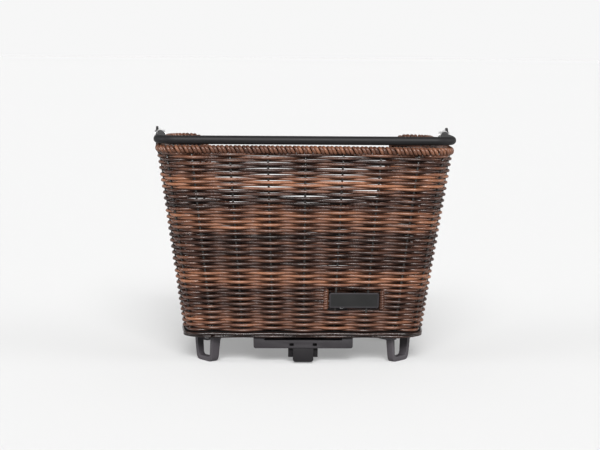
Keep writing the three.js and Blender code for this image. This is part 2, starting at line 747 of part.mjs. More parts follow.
for (const [side, turn] of [['right', 0], ['left', Math.PI]]) {
  const end = new THREE.Group();
  end.rotation.z = turn;
  basket.add(end);
  piece('pivot_bracket_' + side, bracketGeometry, BLACK_WIRE, end);

  const boltEnd = eyeInner - FIT - pivotNutHeight - THREAD_END;
  const boltLength = bracketX + BRACKET_THICKNESS + FIT - boltEnd;
  const bolt = piece('pivot_bolt_' + side, screwGeometry(PIVOT_BOLT, boltLength), STEEL, end);
  bolt.position.set(boltEnd, 0, PIVOT_Z);
  bolt.rotation.y = Math.PI / 2;
  const nut = piece('pivot_nut_' + side, nutGeometry(PIVOT_BOLT, pivotNutHeight), STEEL, end);
  nut.position.set(eyeInner - FIT - pivotNutHeight, 0, PIVOT_Z);
  nut.rotation.y = Math.PI / 2;

  const leaning = new THREE.Group();
  leaning.position.set(levelAt(backingMiddle).halfWidth, 0, backingMiddle);
  leaning.rotation.y = sideLean;
  end.add(leaning);
  const backingHoles = [screwStep, -screwStep].map((z) =>
    rodX(BRACKET_SCREW / 2 + FIT, backingFace - CUT_MARGIN, -sideReach, 0, z),
  );
  const backingShape = roundedRectangle(BRACKET_WIDTH, backingHeight, tailRound);
  const backing = cut(extrudeRight(backingShape, backingFace, BACKING_THICKNESS), backingHoles);
  piece('bracket_backing_' + side, backing, BLACK_WIRE, leaning);
  for (const [level, z] of [['upper', screwStep], ['lower', -screwStep]]) {
    const screwEnd = backingFace - FIT - bracketNutHeight - THREAD_END;
    const screw = piece(
      `bracket_screw_${side}_${level}`,
      screwGeometry(BRACKET_SCREW, bracketFace + FIT - screwEnd),
      STEEL,
      leaning,
    );
    screw.position.set(screwEnd, 0, z);
    screw.rotation.y = Math.PI / 2;
    const screwNut = piece(
      `bracket_nut_${side}_${level}`,
      nutGeometry(BRACKET_SCREW, bracketNutHeight),
      STEEL,
      leaning,
    );
    screwNut.position.set(backingFace - FIT - bracketNutHeight, 0, z);
    screwNut.rotation.y = Math.PI / 2;
  }
}

// Strap foot: a loop with one wide and one narrow leg under a flared flange
function footGeometry() {
  const half = FOOT_LENGTH / 2;
  const toe = half - FOOT_LEG_LEAN;
  const leanAt = (z) => toe + (FOOT_LEG_LEAN * z) / FOOT_TOP;
  const flangeUnder = FOOT_TOP - FOOT_FLANGE;
  const outline = new THREE.Shape();
  outline.moveTo(-toe + FOOT_CORNER, 0);
  outline.lineTo(toe - FOOT_CORNER, 0);
  outline.quadraticCurveTo(toe, 0, leanAt(FOOT_CORNER), FOOT_CORNER);
  outline.lineTo(leanAt(flangeUnder - FOOT_FLARE), flangeUnder - FOOT_FLARE);
  outline.quadraticCurveTo(half, flangeUnder, half + FOOT_FLARE, FOOT_TOP - FOOT_FLANGE / 2);
  outline.lineTo(half + FOOT_FLARE, FOOT_TOP);
  outline.lineTo(-half - FOOT_FLARE, FOOT_TOP);
  outline.lineTo(-half - FOOT_FLARE, FOOT_TOP - FOOT_FLANGE / 2);
  outline.quadraticCurveTo(-half, flangeUnder, -leanAt(flangeUnder - FOOT_FLARE), flangeUnder - FOOT_FLARE);
  outline.lineTo(-leanAt(FOOT_CORNER), FOOT_CORNER);
  outline.quadraticCurveTo(-toe, 0, -toe + FOOT_CORNER, 0);
  const inner = FOOT_CORNER - FOOT_STRAP / 2;
  const gap = (z) => leanAt(z) - FOOT_STRAP;
  const loop = new THREE.Path();
  loop.moveTo(-gap(FOOT_STRAP) + inner, FOOT_STRAP);
  loop.quadraticCurveTo(-gap(FOOT_STRAP), FOOT_STRAP, -gap(FOOT_STRAP + inner), FOOT_STRAP + inner);
  loop.lineTo(-gap(flangeUnder), flangeUnder);
  loop.lineTo(gap(flangeUnder), flangeUnder);
  loop.lineTo(gap(FOOT_STRAP + inner), FOOT_STRAP + inner);
  loop.quadraticCurveTo(gap(FOOT_STRAP), FOOT_STRAP, gap(FOOT_STRAP) - inner, FOOT_STRAP);
  outline.holes.push(loop);
  const strap = extrudeBack(outline, -FOOT_WIDE / 2, FOOT_WIDE);
  const position = strap.getAttribute('position');
  for (let i = 0; i < position.count; i++) {
    const share = THREE.MathUtils.clamp((position.getX(i) + half) / FOOT_LENGTH, 0, 1);
    position.setY(i, position.getY(i) * lerp(FOOT_NARROW / FOOT_WIDE, 1, share));
  }
  return cut(strap, [rodZ(FOOT_SCREW / 2 + FIT, 0, 0, flangeUnder - CUT_MARGIN, FOOT_TOP + CUT_MARGIN)]);
}

const footNutHeight = FOOT_SCREW * NUT_HEIGHT_SHARE;
const footNutProfile = [
  [FOOT_SCREW / 2 + FIT, 0],
  [FOOT_WASHER / 2, 0],
  [FOOT_WASHER / 2, FOOT_WASHER_THICKNESS],
  [FOOT_SCREW, FOOT_WASHER_THICKNESS],
  [FOOT_SCREW * HEAD_RADIUS_SHARE, footNutHeight],
  [FOOT_SCREW / 2 + FIT, footNutHeight],
  [FOOT_SCREW / 2 + FIT, 0],
].map(([r, h]) => new THREE.Vector2(r, h));
const footShape = footGeometry();
const footNutShape = new THREE.LatheGeometry(footNutProfile, ROUND_SIDES).rotateX(Math.PI / 2);

for (const { name, x, y, turn } of footPlaces) {
  const corner = new THREE.Group();
  corner.position.set(x, y, 0);
  corner.rotation.z = y > 0 ? Math.PI : 0;
  basket.add(corner);
  const foot = piece('foot_' + name, footShape, BLACK_PLASTIC, corner);
  foot.rotation.z = degToRad(turn ? FOOT_TURN : -FOOT_TURN);

  const seat = FOOT_TOP - FOOT_FLANGE - FIT;
  const reach = FLOOR_TOP + FIT + footNutHeight + THREAD_END - seat;
  const screw = piece('foot_screw_' + name, screwGeometry(FOOT_SCREW, reach), STEEL, corner);
  screw.rotation.x = Math.PI;
  screw.position.z = seat + reach;
  const nut = piece('foot_nut_' + name, footNutShape, STEEL, corner);
  nut.position.z = FLOOR_TOP + FIT;
}

// Rack adapter: a plate on two long pads, with a lipped channel below for the rack's rail
const adapterTop = FLOOR_BOTTOM - FIT;
const adapterBottom = adapterTop - ADAPTER_HEIGHT;
const plateTop = adapterTop - ADAPTER_PAD_HEIGHT;
const channelRoof = adapterBottom + RAIL_DEPTH;
const padInner = ADAPTER_WIDTH / 2 - ADAPTER_PAD_WIDTH;
const adapterHalfProfile = [
  [RAIL_MOUTH / 2, adapterBottom],
  [ADAPTER_WIDTH / 2, adapterBottom],
  [ADAPTER_WIDTH / 2, adapterTop],
  [padInner, adapterTop],
  [padInner, plateTop],
];
const channelHalfProfile = [
  [RAIL_WIDTH / 2, channelRoof],
  [RAIL_WIDTH / 2, adapterBottom + RAIL_LIP],
  [RAIL_MOUTH / 2, adapterBottom + RAIL_LIP],
];
const flip = ([x, z]) => [-x, z];
const adapterProfile = new THREE.Shape(
  [
    ...adapterHalfProfile,
    ...adapterHalfProfile.map(flip).reverse(),
    ...channelHalfProfile.map(flip).reverse(),
    ...channelHalfProfile,
  ].map(([x, z]) => new THREE.Vector2(x, z)),
);
const hubY = adapterFront + ADAPTER_BAR_WALL + FIT + HUB_FRONT_GAP + HUB_DIAMETER / 2;
const hubZ = plateTop - POCKET_ROOF - FIT - HUB_DIAMETER / 2;
const pocketHalf = TONGUE_WIDTH / 2 + HOOK_WIDTH + POCKET_SIDE_GAP;
const channelFill = (RAIL_WIDTH + RAIL_LIP) / 2;
const barBack = adapterFront + ADAPTER_BAR;
const adapterBlank = join([
  extrudeBack(adapterProfile, adapterFront, ADAPTER_LENGTH),
  block(-channelFill, channelFill, adapterFront, barBack, adapterBottom, channelRoof + JOIN_OVERLAP),
]);
const barWindows = [-1, 1].map((side) => {
  const middle = (side * ADAPTER_WINDOW_SPACING) / 2;
  return block(
    middle - ADAPTER_WINDOW_WIDTH / 2,
    middle + ADAPTER_WINDOW_WIDTH / 2,
    adapterFront - CUT_MARGIN,
    adapterFront + ADAPTER_BAR_WALL + CUT_MARGIN,
    hubZ - ADAPTER_WINDOW_HEIGHT / 2,
    hubZ + ADAPTER_WINDOW_HEIGHT / 2,
  );
});
piece(
  'adapter_plate',
  cut(adapterBlank, [
    ...barWindows,
    block(
      -pocketHalf,
      pocketHalf,
      adapterFront + ADAPTER_BAR_WALL,
      barBack + CUT_MARGIN,
      adapterBottom - CUT_MARGIN,
      hubZ + HUB_DIAMETER / 2 + FIT,
    ),
    rodX(LATCH_PIN / 2 + FIT, -LATCH_PIN_LENGTH / 2 - FIT, LATCH_PIN_LENGTH / 2 + FIT, hubY, hubZ),
    ...adapterScrewPlaces.map(({ x, y }) =>
      rodZ(ADAPTER_SCREW / 2 + FIT, x, y, adapterTop - ADAPTER_SCREW_BITE - FIT, adapterTop + CUT_MARGIN),
    ),
  ]),
  BLACK_PLASTIC,
);

const clampBottom = FLOOR_TOP + FIT;
const clampTop = clampBottom + CLAMP_THICKNESS;
const clampSlab = extrude(roundedRectangle(CLAMP_WIDTH, CLAMP_LENGTH, ADAPTER_PAD_WIDTH / 2), CLAMP_THICKNESS);
piece(
  'adapter_clamp_plate',
  cut(
    clampSlab.translate(0, adapterMiddle, clampBottom),
    adapterScrewPlaces.map(({ x, y }) =>
      rodZ(ADAPTER_SCREW / 2 + FIT, x, y, clampBottom - CUT_MARGIN, clampTop + CUT_MARGIN),
    ),
  ),
  BLACK_PLASTIC,
);
for (const { name, x, y } of adapterScrewPlaces) {
  const screwEnd = adapterTop - ADAPTER_SCREW_BITE;
  const screw = piece('adapter_screw_' + name, screwGeometry(ADAPTER_SCREW, clampTop + FIT - screwEnd), STEEL);
  screw.position.set(x, y, screwEnd);
}

// Latch lever: hub on a pin inside the adapter's front bar, a tongue to press and two hooks behind it
const tongueTop = adapterBottom - FIT;
const tongueFront = adapterFront;
const neckFront = hubY - HUB_DIAMETER / 2;
const neckBack = hubY + HUB_DIAMETER / 2;
const tongueFace = new THREE.Shape();
const tongueHalf = TONGUE_WIDTH / 2;
tongueFace.absarc(tongueHalf - TONGUE_CORNER, TONGUE_FLOOR_GAP + TONGUE_CORNER, TONGUE_CORNER, -Math.PI / 2, 0);
tongueFace.lineTo(tongueHalf, hubZ);
tongueFace.lineTo(HUB_GAP / 2, hubZ);
tongueFace.lineTo(HUB_GAP / 2, tongueTop);
tongueFace.lineTo(-HUB_GAP / 2, tongueTop);
tongueFace.lineTo(-HUB_GAP / 2, hubZ);
tongueFace.lineTo(-tongueHalf, hubZ);
tongueFace.absarc(
  -tongueHalf + TONGUE_CORNER,
  TONGUE_FLOOR_GAP + TONGUE_CORNER,
  TONGUE_CORNER,
  Math.PI,
  1.5 * Math.PI,
);
const tongueSide = new THREE.Shape(
  [
    [tongueFront, TONGUE_FLOOR_GAP],
    [tongueFront + TONGUE_THICKNESS, TONGUE_FLOOR_GAP],
    [tongueFront + TONGUE_THICKNESS, tongueTop - 2 * TONGUE_THICKNESS],
    [neckBack, tongueTop - TONGUE_THICKNESS / 2],
    [neckBack, hubZ],
    [neckFront, hubZ],
    [neckFront, tongueTop],
    [tongueFront, tongueTop],
  ].map(([y, z]) => new THREE.Vector2(y, z)),
);
const tongue = overlapOf(
  extrudeRight(tongueSide, -tongueHalf, TONGUE_WIDTH),
  extrudeBack(tongueFace, tongueFront - CUT_MARGIN, neckBack - tongueFront + 2 * CUT_MARGIN),
);
const hookBottom = TONGUE_FLOOR_GAP + HOOK_RISE;
const hookSide = new THREE.Shape(
  [
    [hubY - HOOK_THICKNESS / 2, hubZ],
    [hubY - HOOK_THICKNESS / 2, hookBottom],
    [hubY + HOOK_THICKNESS / 2 + HOOK_REACH, hookBottom],
    [hubY + HOOK_THICKNESS / 2 + HOOK_REACH / 2, hookBottom + HOOK_REACH],
    [hubY + HOOK_THICKNESS / 2, hookBottom + HOOK_REACH],
    [hubY + HOOK_THICKNESS / 2, hubZ],
  ].map(([y, z]) => new THREE.Vector2(y, z)),
);
const hookStart = tongueHalf - JOIN_OVERLAP;
const hookEnd = tongueHalf + HOOK_WIDTH;
const leverBlank = join([
  tongue,
  rodX(HUB_DIAMETER / 2, HUB_GAP / 2, hookEnd, hubY, hubZ),
  rodX(HUB_DIAMETER / 2, -hookEnd, -HUB_GAP / 2, hubY, hubZ),
  extrudeRight(hookSide, hookStart, hookEnd - hookStart),
  extrudeRight(hookSide, -hookEnd, hookEnd - hookStart),
]);
const pinBore = rodX(LATCH_PIN / 2 + FIT, -hookEnd - CUT_MARGIN, hookEnd + CUT_MARGIN, hubY, hubZ);
piece('latch_lever', cut(leverBlank, [pinBore]), BLACK_PLASTIC);
piece('latch_pin', rodX(LATCH_PIN / 2, -LATCH_PIN_LENGTH / 2, LATCH_PIN_LENGTH / 2, hubY, hubZ), STEEL);

// Return spring: a close coil round the pin between the two halves of the hub
const coilRadius = LATCH_PIN / 2 + FIT + SPRING_WIRE / 2;
const coilSteps = SPRING_TURNS * COIL_STEPS;
const coilAngle = (i) => (2 * Math.PI * i) / COIL_STEPS;
const coilPoint = (i) =>
  new THREE.Vector3(
    SPRING_PITCH * (i / COIL_STEPS - SPRING_TURNS / 2),
    hubY + coilRadius * Math.cos(coilAngle(i)),
    hubZ + coilRadius * Math.sin(coilAngle(i)),
  );
const coilRings = Array.from({ length: coilSteps + 1 }, (_, i) => {
  const away = new THREE.Vector3(0, Math.cos(coilAngle(i)), Math.sin(coilAngle(i)));
  const axis = new THREE.Vector3(1, 0, 0);
  return arcPoints(SPRING_WIRE / 2, 0, 2 * Math.PI, COIL_SIDES)
    .slice(1)
    .map(([a, b]) => coilPoint(i).addScaledVector(axis, a).addScaledVector(away, b));
});
let coilGap = Infinity;
for (let i = 0; i <= coilSteps; i++) {
  for (let k = i + COIL_STEPS - 2; k <= coilSteps; k++) {
    coilGap = Math.min(coilGap, coilPoint(i).distanceTo(coilPoint(k)) - SPRING_WIRE);
  }
}
console.log('least gap between the turns of the latch spring: ' + coilGap.toFixed(2) + ' mm');
piece('latch_spring', skin(coilRings, false), STEEL);

// Plain name plate in its window: bosses on its back pass between the stakes to a strip inside
const stakeClear = STAKE_WIRE / 2 + 2 * FIT;
const bossX = [plateStakes[0] + PLATE_BOSS_GAP - plateX, plateStakes[1] - PLATE_BOSS_GAP - plateX];
const plateFront = -stakeClear - PLATE_THICKNESS;
const bossEnd = stakeClear - FIT;
const plateBlank = join([
  extrudeBack(roundedRectangle(PLATE_WIDTH, PLATE_HEIGHT, PLATE_CORNER), plateFront, PLATE_THICKNESS),
  ...bossX.map((x) => rodY(PLATE_BOSS / 2, x, -stakeClear - PLATE_THICKNESS / 2, bossEnd, 0)),
]);
const screwTip = -stakeClear - PLATE_THICKNESS / 4;
const plateHoles = bossX.map((x) => rodY(PLATE_SCREW / 2 + FIT, x, screwTip - FIT, bossEnd + CUT_MARGIN, 0));
piece('name_plate', cut(plateBlank, plateHoles), BLACK_PLASTIC, plateFrame);
const backingWidth = bossX[1] - bossX[0] + 2 * (PLATE_BOSS_GAP + 2 * STAKE_WIRE);
const plateBacking = extrudeBack(
  roundedRectangle(backingWidth, PLATE_BACKING_HEIGHT, PLATE_CORNER),
  stakeClear,
  BACKING_THICKNESS,
).translate((bossX[0] + bossX[1]) / 2, 0, 0);
const plateSeat = stakeClear + BACKING_THICKNESS + FIT;
piece(
  'name_plate_backing',
  cut(
    plateBacking,
    bossX.map((x) => rodY(PLATE_SCREW / 2 + FIT, x, bossEnd - CUT_MARGIN, plateSeat + CUT_MARGIN, 0)),
  ),
  BLACK_WIRE,
  plateFrame,
);
['left', 'right'].forEach((side, i) => {
  const shape = screwGeometry(PLATE_SCREW, plateSeat - screwTip);
  const screw = piece('name_plate_screw_' + side, shape, STEEL, plateFrame);
  screw.rotation.x = -Math.PI / 2;
  screw.position.set(bossX[i], screwTip, 0);
});

export default basket;
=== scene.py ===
import math

import bmesh
import bpy
from mathutils import Matrix, Vector, noise


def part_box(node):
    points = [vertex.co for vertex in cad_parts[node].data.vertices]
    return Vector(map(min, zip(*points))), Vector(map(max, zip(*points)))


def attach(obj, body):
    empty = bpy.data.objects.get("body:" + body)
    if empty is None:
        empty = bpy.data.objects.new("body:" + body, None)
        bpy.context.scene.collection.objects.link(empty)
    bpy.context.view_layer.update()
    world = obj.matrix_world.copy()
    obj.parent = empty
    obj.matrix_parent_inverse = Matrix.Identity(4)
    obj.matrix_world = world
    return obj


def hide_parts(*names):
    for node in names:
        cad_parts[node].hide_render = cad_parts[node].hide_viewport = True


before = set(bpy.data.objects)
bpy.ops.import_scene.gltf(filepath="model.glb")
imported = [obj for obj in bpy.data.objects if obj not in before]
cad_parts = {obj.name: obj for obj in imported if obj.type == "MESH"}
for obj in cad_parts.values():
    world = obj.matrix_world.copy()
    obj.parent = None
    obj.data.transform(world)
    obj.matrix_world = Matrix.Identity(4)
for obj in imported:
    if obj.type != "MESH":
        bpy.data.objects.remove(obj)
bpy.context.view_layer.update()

# Wire skeleton. Round steel wire, powder coated black: a rim hoop and a base hoop joined by stakes that are
# welded up the walls, with wires across the floor. It carries the weave, so it gives the wall its form:
# a rounded rectangle that narrows from the rim to the base, with a dip in the back rim for the saddle.
rim_wire = 0.005
rim_core = 0.0024  # what is drawn of the rim wire inside the border, so that the strands round it meet
base_wire = 0.005
stake_wire = 0.003
hoop_steps, hoop_sides = 240, 12
stake_steps, stake_sides = 8, 8
wire_low, wire_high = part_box("wire_frame")
rim_half_width = wire_high.x - rim_wire / 2
rim_half_depth = wire_high.y - rim_wire / 2
rim_height = wire_high.z - rim_wire / 2
base_height = wire_low.z + base_wire / 2
base_half_width = 0.166
base_half_depth = 0.113
rim_corner = 0.032
base_corner = 0.026
base_tilt, rim_tilt = 0.14, 0.055
front_sag = 0.0025


def mixed(first, second, share):
    return first + (second - first) * share


def wall_level(z):
    """Half width, half depth and corner radius of the wall's middle at a height."""
    share = (z - base_height) / (rim_height - base_height)
    return (
        mixed(base_half_width, rim_half_width, share),
        mixed(base_half_depth, rim_half_depth, share),
        mixed(base_corner, rim_corner, share),
    )


def stretches(z):
    """Lengths round the wall: front, corner, right, corner, back, corner, left, corner."""
    half_width, half_depth, corner = wall_level(z)
    arc = corner * math.pi / 2
    return [2 * (half_width - corner), arc, 2 * (half_depth - corner), arc] * 2


def sagged(point):
    """The front rim hangs a little lower towards the right, as hand weaving left it."""
    across = (1 + point.x / rim_half_width) / 2
    forward = (1 - point.y / rim_half_depth) / 2
    upward = (point.z - base_height) / (rim_height - base_height)
    return point - Vector((0, 0, front_sag * across ** 3 * forward * upward * upward))


def wall_at(distance, z, outward=0.0):
    """The point at a distance round the wall, from the left end of the front, and out from its middle."""
    half_width, half_depth, corner = wall_level(z)
    lengths = stretches(z)
    distance %= sum(lengths)
    stretch = 0
    while distance > lengths[stretch] and stretch < len(lengths) - 1:
        distance -= lengths[stretch]
        stretch += 1
    quarter = stretch // 2
    along, across = half_width - corner, half_depth - corner
    if quarter % 2:
        along, across = across, along
    turn = 0.0
    if stretch % 2:
        turn = math.pi / 2 * distance / lengths[stretch]
        distance = 2 * along
    reach = corner + outward
    local = Vector((distance - along + math.sin(turn) * reach, -across - math.cos(turn) * reach, z))
    local.z -= outward * mixed(base_tilt, rim_tilt, (z - base_height) / (rim_height - base_height))
    return sagged(Matrix.Rotation(quarter * math.pi / 2, 3, "Z") @ local)


def distance_of(station, z):
    """How far round the wall a station is: its stretch, and its share of that stretch."""
    stretch, share = station
    lengths = stretches(z)
    return sum(lengths[:stretch]) + share * lengths[stretch]


front_middle, back_middle = (0, 0.5), (4, 0.5)


def even_shares(count, length, end_gap):
    return [mixed(end_gap, length - end_gap, i / (count - 1)) / length for i in range(count)]


front_stakes, front_end_gap = 7, 0.013
side_stakes, side_end_gap = 4, 0.041
corner_stakes = (42 / 90, 84 / 90)
stakes = []
for quarter in range(4):
    count, gap = (side_stakes, side_end_gap) if quarter % 2 else (front_stakes, front_end_gap)
    straight = stretches(rim_height)[2 * quarter]
    stakes += [(2 * quarter, share) for share in even_shares(count, straight, gap)]
    corner_shares = [1 - share for share in reversed(corner_stakes)] if quarter % 2 else corner_stakes
    stakes += [(2 * quarter + 1, share) for share in corner_shares]

dip_half_width = 0.167
dip_depth = 0.108
dip_shoulder = 0.022
dip_round = 0.038
dip_lean = math.radians(78)
dip_steps = 12
dip_search = 0.001


def dip_edge(inset):
    """Half of the dip's edge in the back wall, as x and z from its shoulder to its middle."""
    radii = dip_shoulder + dip_round
    side_drop = dip_depth - radii * (1 - math.cos(dip_lean))
    floor_half = dip_half_width - radii * math.sin(dip_lean) - side_drop / math.tan(dip_lean)
    turns = [dip_lean * i / dip_steps for i in range(dip_steps + 1)]
    shoulder, bottom = dip_shoulder - inset, dip_round + inset
    edge = [
        (dip_half_width - shoulder * math.sin(t), rim_height - dip_shoulder + shoulder * math.cos(t))
        for t in turns
    ]
    edge += [
        (floor_half + bottom * math.sin(t), rim_height - dip_depth + dip_round - bottom * math.cos(t))
        for t in reversed(turns)
    ]
    return edge + [(0.0, edge[-1][1])]


def back_at(x, z):
    return wall_at(distance_of(back_middle, z) - x, z)


def dip_width(z, inset):
    """Half the width of the dip at a height, or nothing below it."""
    edge = dip_edge(inset)
    for (upper_x, upper_z), (lower_x, lower_z) in zip(edge, edge[1:]):
        if upper_z >= z > lower_z:
            return mixed(lower_x, upper_x, (z - lower_z) / (upper_z - lower_z))
    return None


def rim_line():
    """Points along the middle of the rim, anticlockwise from the front left."""
    dip_start = distance_of(back_middle, rim_height) - dip_half_width
    dip_end = dip_start + 2 * dip_half_width
    half = dip_edge(0.0)
    line = [wall_at(dip_start * i / hoop_steps, rim_height) for i in range(hoop_steps)]
    line += [back_at(x, z) for x, z in half]
    line += [back_at(-x, z) for x, z in reversed(half[:-1])]
    rest = sum(stretches(rim_height)) - dip_end
    return line + [wall_at(dip_end + rest * i / hoop_steps, rim_height) for i in range(1, hoop_steps)]


def stake_top(station):
    """The height where a stake meets the rim, or the edge of the dip."""
    stretch, share = station
    if stretch != back_middle[0]:
        return rim_height
    z = rim_height
    while z > base_height:
        half_width, _, corner = wall_level(z)
        dip = dip_width(z, 0.0)
        if dip is None or abs((half_width - corner) * (1 - 2 * share)) >= dip:
            return z
        z -= dip_search
    return z


def swept(name, paths, radius, sides, twist="Z_UP"):
    """Round wires or strands as one mesh, along lists of points that may hold a thickness too."""
    curve = bpy.data.curves.new(name, "CURVE")
    curve.dimensions = "3D"
    curve.twist_mode = twist
    curve.bevel_depth = radius
    curve.bevel_resolution = (sides - 4) // 2  # a bevel has four sides, and two more for each step
    for points, closed in paths:
        spline = curve.splines.new("POLY")
        spline.points.add(len(points) - 1)
        spline.points.foreach_set("co", [value for point in points for value in (*point[:3], 1.0)])
        if len(points[0]) > 3:
            spline.points.foreach_set("radius", [point[3] for point in points])
        spline.use_cyclic_u = closed
        spline.use_smooth = True
    holder = bpy.data.objects.new(name, curve)
    mesh = bpy.data.meshes.new_from_object(holder)
    bpy.data.objects.remove(holder)
    bpy.data.curves.remove(curve)
    mesh.name = name
    return mesh


def capped(mesh):
    """Closes the open ends of swept wires, and keeps the order of their points."""
    form = bmesh.new()
    form.from_mesh(mesh)
    bmesh.ops.holes_fill(form, edges=[edge for edge in form.edges if edge.is_boundary], sides=0)
    bmesh.ops.recalc_face_normals(form, faces=form.faces)
    form.to_mesh(mesh)
    form.free()
    return mesh


class Shade:
    """A shader value: its operators add the Math nodes that work it out."""

    def __init__(self, tree, socket=None):
        self.tree = tree
        self.socket = socket

    def node(self, kind, settings, inputs, output=0):
        """Adds a node with its settings and its inputs, and gives one of its outputs."""
        made = self.tree.nodes.new("ShaderNode" + kind)
        for name, value in settings.items():
            if name == "stops":
                ramp = made.color_ramp
                while len(ramp.elements) < len(value):
                    ramp.elements.new(1.0)
                for element, (position, colour) in zip(ramp.elements, value):
                    element.position = position
                    element.color = (*colour, 1.0)
            else:
                setattr(made, name, value)
        for name, value in inputs.items():
            if isinstance(value, Shade):
                self.tree.links.new(value.socket, made.inputs[name])
            else:
                made.inputs[name].default_value = value
        return Shade(self.tree, made.outputs[output])

    def maths(self, operation, first, second):
        return self.node("Math", {"operation": operation}, {0: first, 1: second})

    def __add__(self, other):
        return self.maths("ADD", self, other)

    def __radd__(self, other):
        return self.maths("ADD", other, self)

    def __sub__(self, other):
        return self.maths("SUBTRACT", self, other)

    def __rsub__(self, other):
        return self.maths("SUBTRACT", other, self)

    def __mul__(self, other):
        return self.maths("MULTIPLY", self, other)

    def __rmul__(self, other):
        return self.maths("MULTIPLY", other, self)


def new_finish(name):
    material = bpy.data.materials.new(name)
    material.use_nodes = True
    material.node_tree.nodes.clear()
    return material, Shade(material.node_tree)


def noise_at(shade, place, scale, detail=2.0):
    return shade.node("TexNoise", {}, {"Vector": place, "Scale": scale, "Detail": detail}, "Fac")


def surfaced(shade, inputs):
    surface = shade.node("BsdfPrincipled", {}, inputs)
    output = shade.tree.nodes.new("ShaderNodeOutputMaterial")
    shade.tree.links.new(surface.socket, output.inputs["Surface"])


def coat_finish(name, dark, light, roughness, grain_scale, grain_depth, metallic=0.0, sheen=0.5):
    """A coat, moulding or plating: slow changes of tone and gloss, with a fine grain."""
    cloud_scale, cloud_share, gloss_change = 35.0, 0.7, 0.12
    material, shade = new_finish(name)
    place = shade.node("TexCoord", {}, {}, "Object")
    cloud = noise_at(shade, place, cloud_scale)
    grain = noise_at(shade, place, grain_scale)
    speckle = cloud_share * cloud + (1 - cloud_share) * grain
    tone = shade.node("ValToRGB", {"stops": [(0.3, dark), (0.7, light)]}, {"Fac": speckle})
    bump = shade.node("Bump", {}, {"Strength": 0.5, "Distance": grain_depth, "Height": grain})
    gloss = roughness + gloss_change * (cloud - 0.5)
    level = {"Metallic": metallic, "Specular IOR Level": sheen}
    surfaced(shade, {"Base Color": tone, "Roughness": gloss, "Normal": bump, **level})
    return material


powder_coat = coat_finish(
    "black_powder_coat", (0.009, 0.009, 0.009), (0.016, 0.015, 0.015), 0.36, 1400.0, 0.00008
)
# The stakes' coat is lighter than the black powder coat: painted highlight, standing in for the light dashes
# of gloss on the black wires.
highlit_stake_coat = coat_finish(
    "painted_highlight_wire_coat", (0.019, 0.0178, 0.0168), (0.031, 0.029, 0.027), 0.36, 1400.0, 0.00008
)
# The hoops' coat is matt, which is a real gloss setting, and darker than the black powder coat, which is
# painted shade so that the rim wire seen between the border strands reads dark.
shaded_hoop_coat = coat_finish(
    "matt_painted_shade_hoop_coat", (0.004, 0.004, 0.004), (0.007, 0.007, 0.007), 0.75, 1400.0, 0.00008, sheen=0.1
)


def add_piece(name, mesh, finish, body, slot, *nodes):
    """Puts a finished mesh in the scene as a piece that stands for CAD nodes."""
    piece = bpy.data.objects.new(name, mesh)
    bpy.context.scene.collection.objects.link(piece)
    mesh.materials.append(finish)
    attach(piece, body)
    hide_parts(*nodes)


def middle_of(node):
    low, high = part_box(node)
    return (low + high) / 2


adapter_screw_x = middle_of("adapter_screw_front_right").x
foot_screw_x = middle_of("foot_screw_front_right").x
floor_wire_offset = 0.0205
foot_screw_gap = 0.008
half_wires = [
    adapter_screw_x - floor_wire_offset,
    adapter_screw_x + floor_wire_offset,
    foot_screw_x - foot_screw_gap,
]
floor_wires = [-x for x in reversed(half_wires)] + [0.0] + half_wires
base_length = sum(stretches(base_height))
base_line = [wall_at(base_length * i / hoop_steps, base_height) for i in range(hoop_steps)]
stake_paths = []
for station in stakes:
    top = stake_top(station)
    levels = [mixed(base_height, top, i / stake_steps) for i in range(stake_steps + 1)]
    stake_paths.append(([wall_at(distance_of(station, z), z) for z in levels], False))
for x in floor_wires:
    stake_paths.append(([Vector((x, end * base_half_depth, base_height)) for end in (-1, 1)], False))
for name, line, wire in (("rim_hoop", rim_line(), rim_core), ("base_hoop", base_line, base_wire)):
    hoop = swept(name, [(line, True)], wire / 2, hoop_sides)
    add_piece(name, hoop, shaded_hoop_coat, "basket", "black_wire", "wire_frame")
wires = capped(swept("skeleton_stakes", stake_paths, stake_wire / 2, stake_sides))
add_piece("skeleton_stakes", wires, highlit_stake_coat, "basket", "black_wire", "wire_frame")

# Woven floor. Round synthetic strands run from side to side over and under the floor wires, and their ends
# are tucked in against the base hoop. The strands are a little thinner than those of the wall.
floor_strand = 0.0038
floor_pitch = 0.00375
floor_lay = 0.0026
span_steps = 10
strand_sides = 8
floor_edge = base_wire / 2 + floor_strand / 2
crossing_room = 0.01


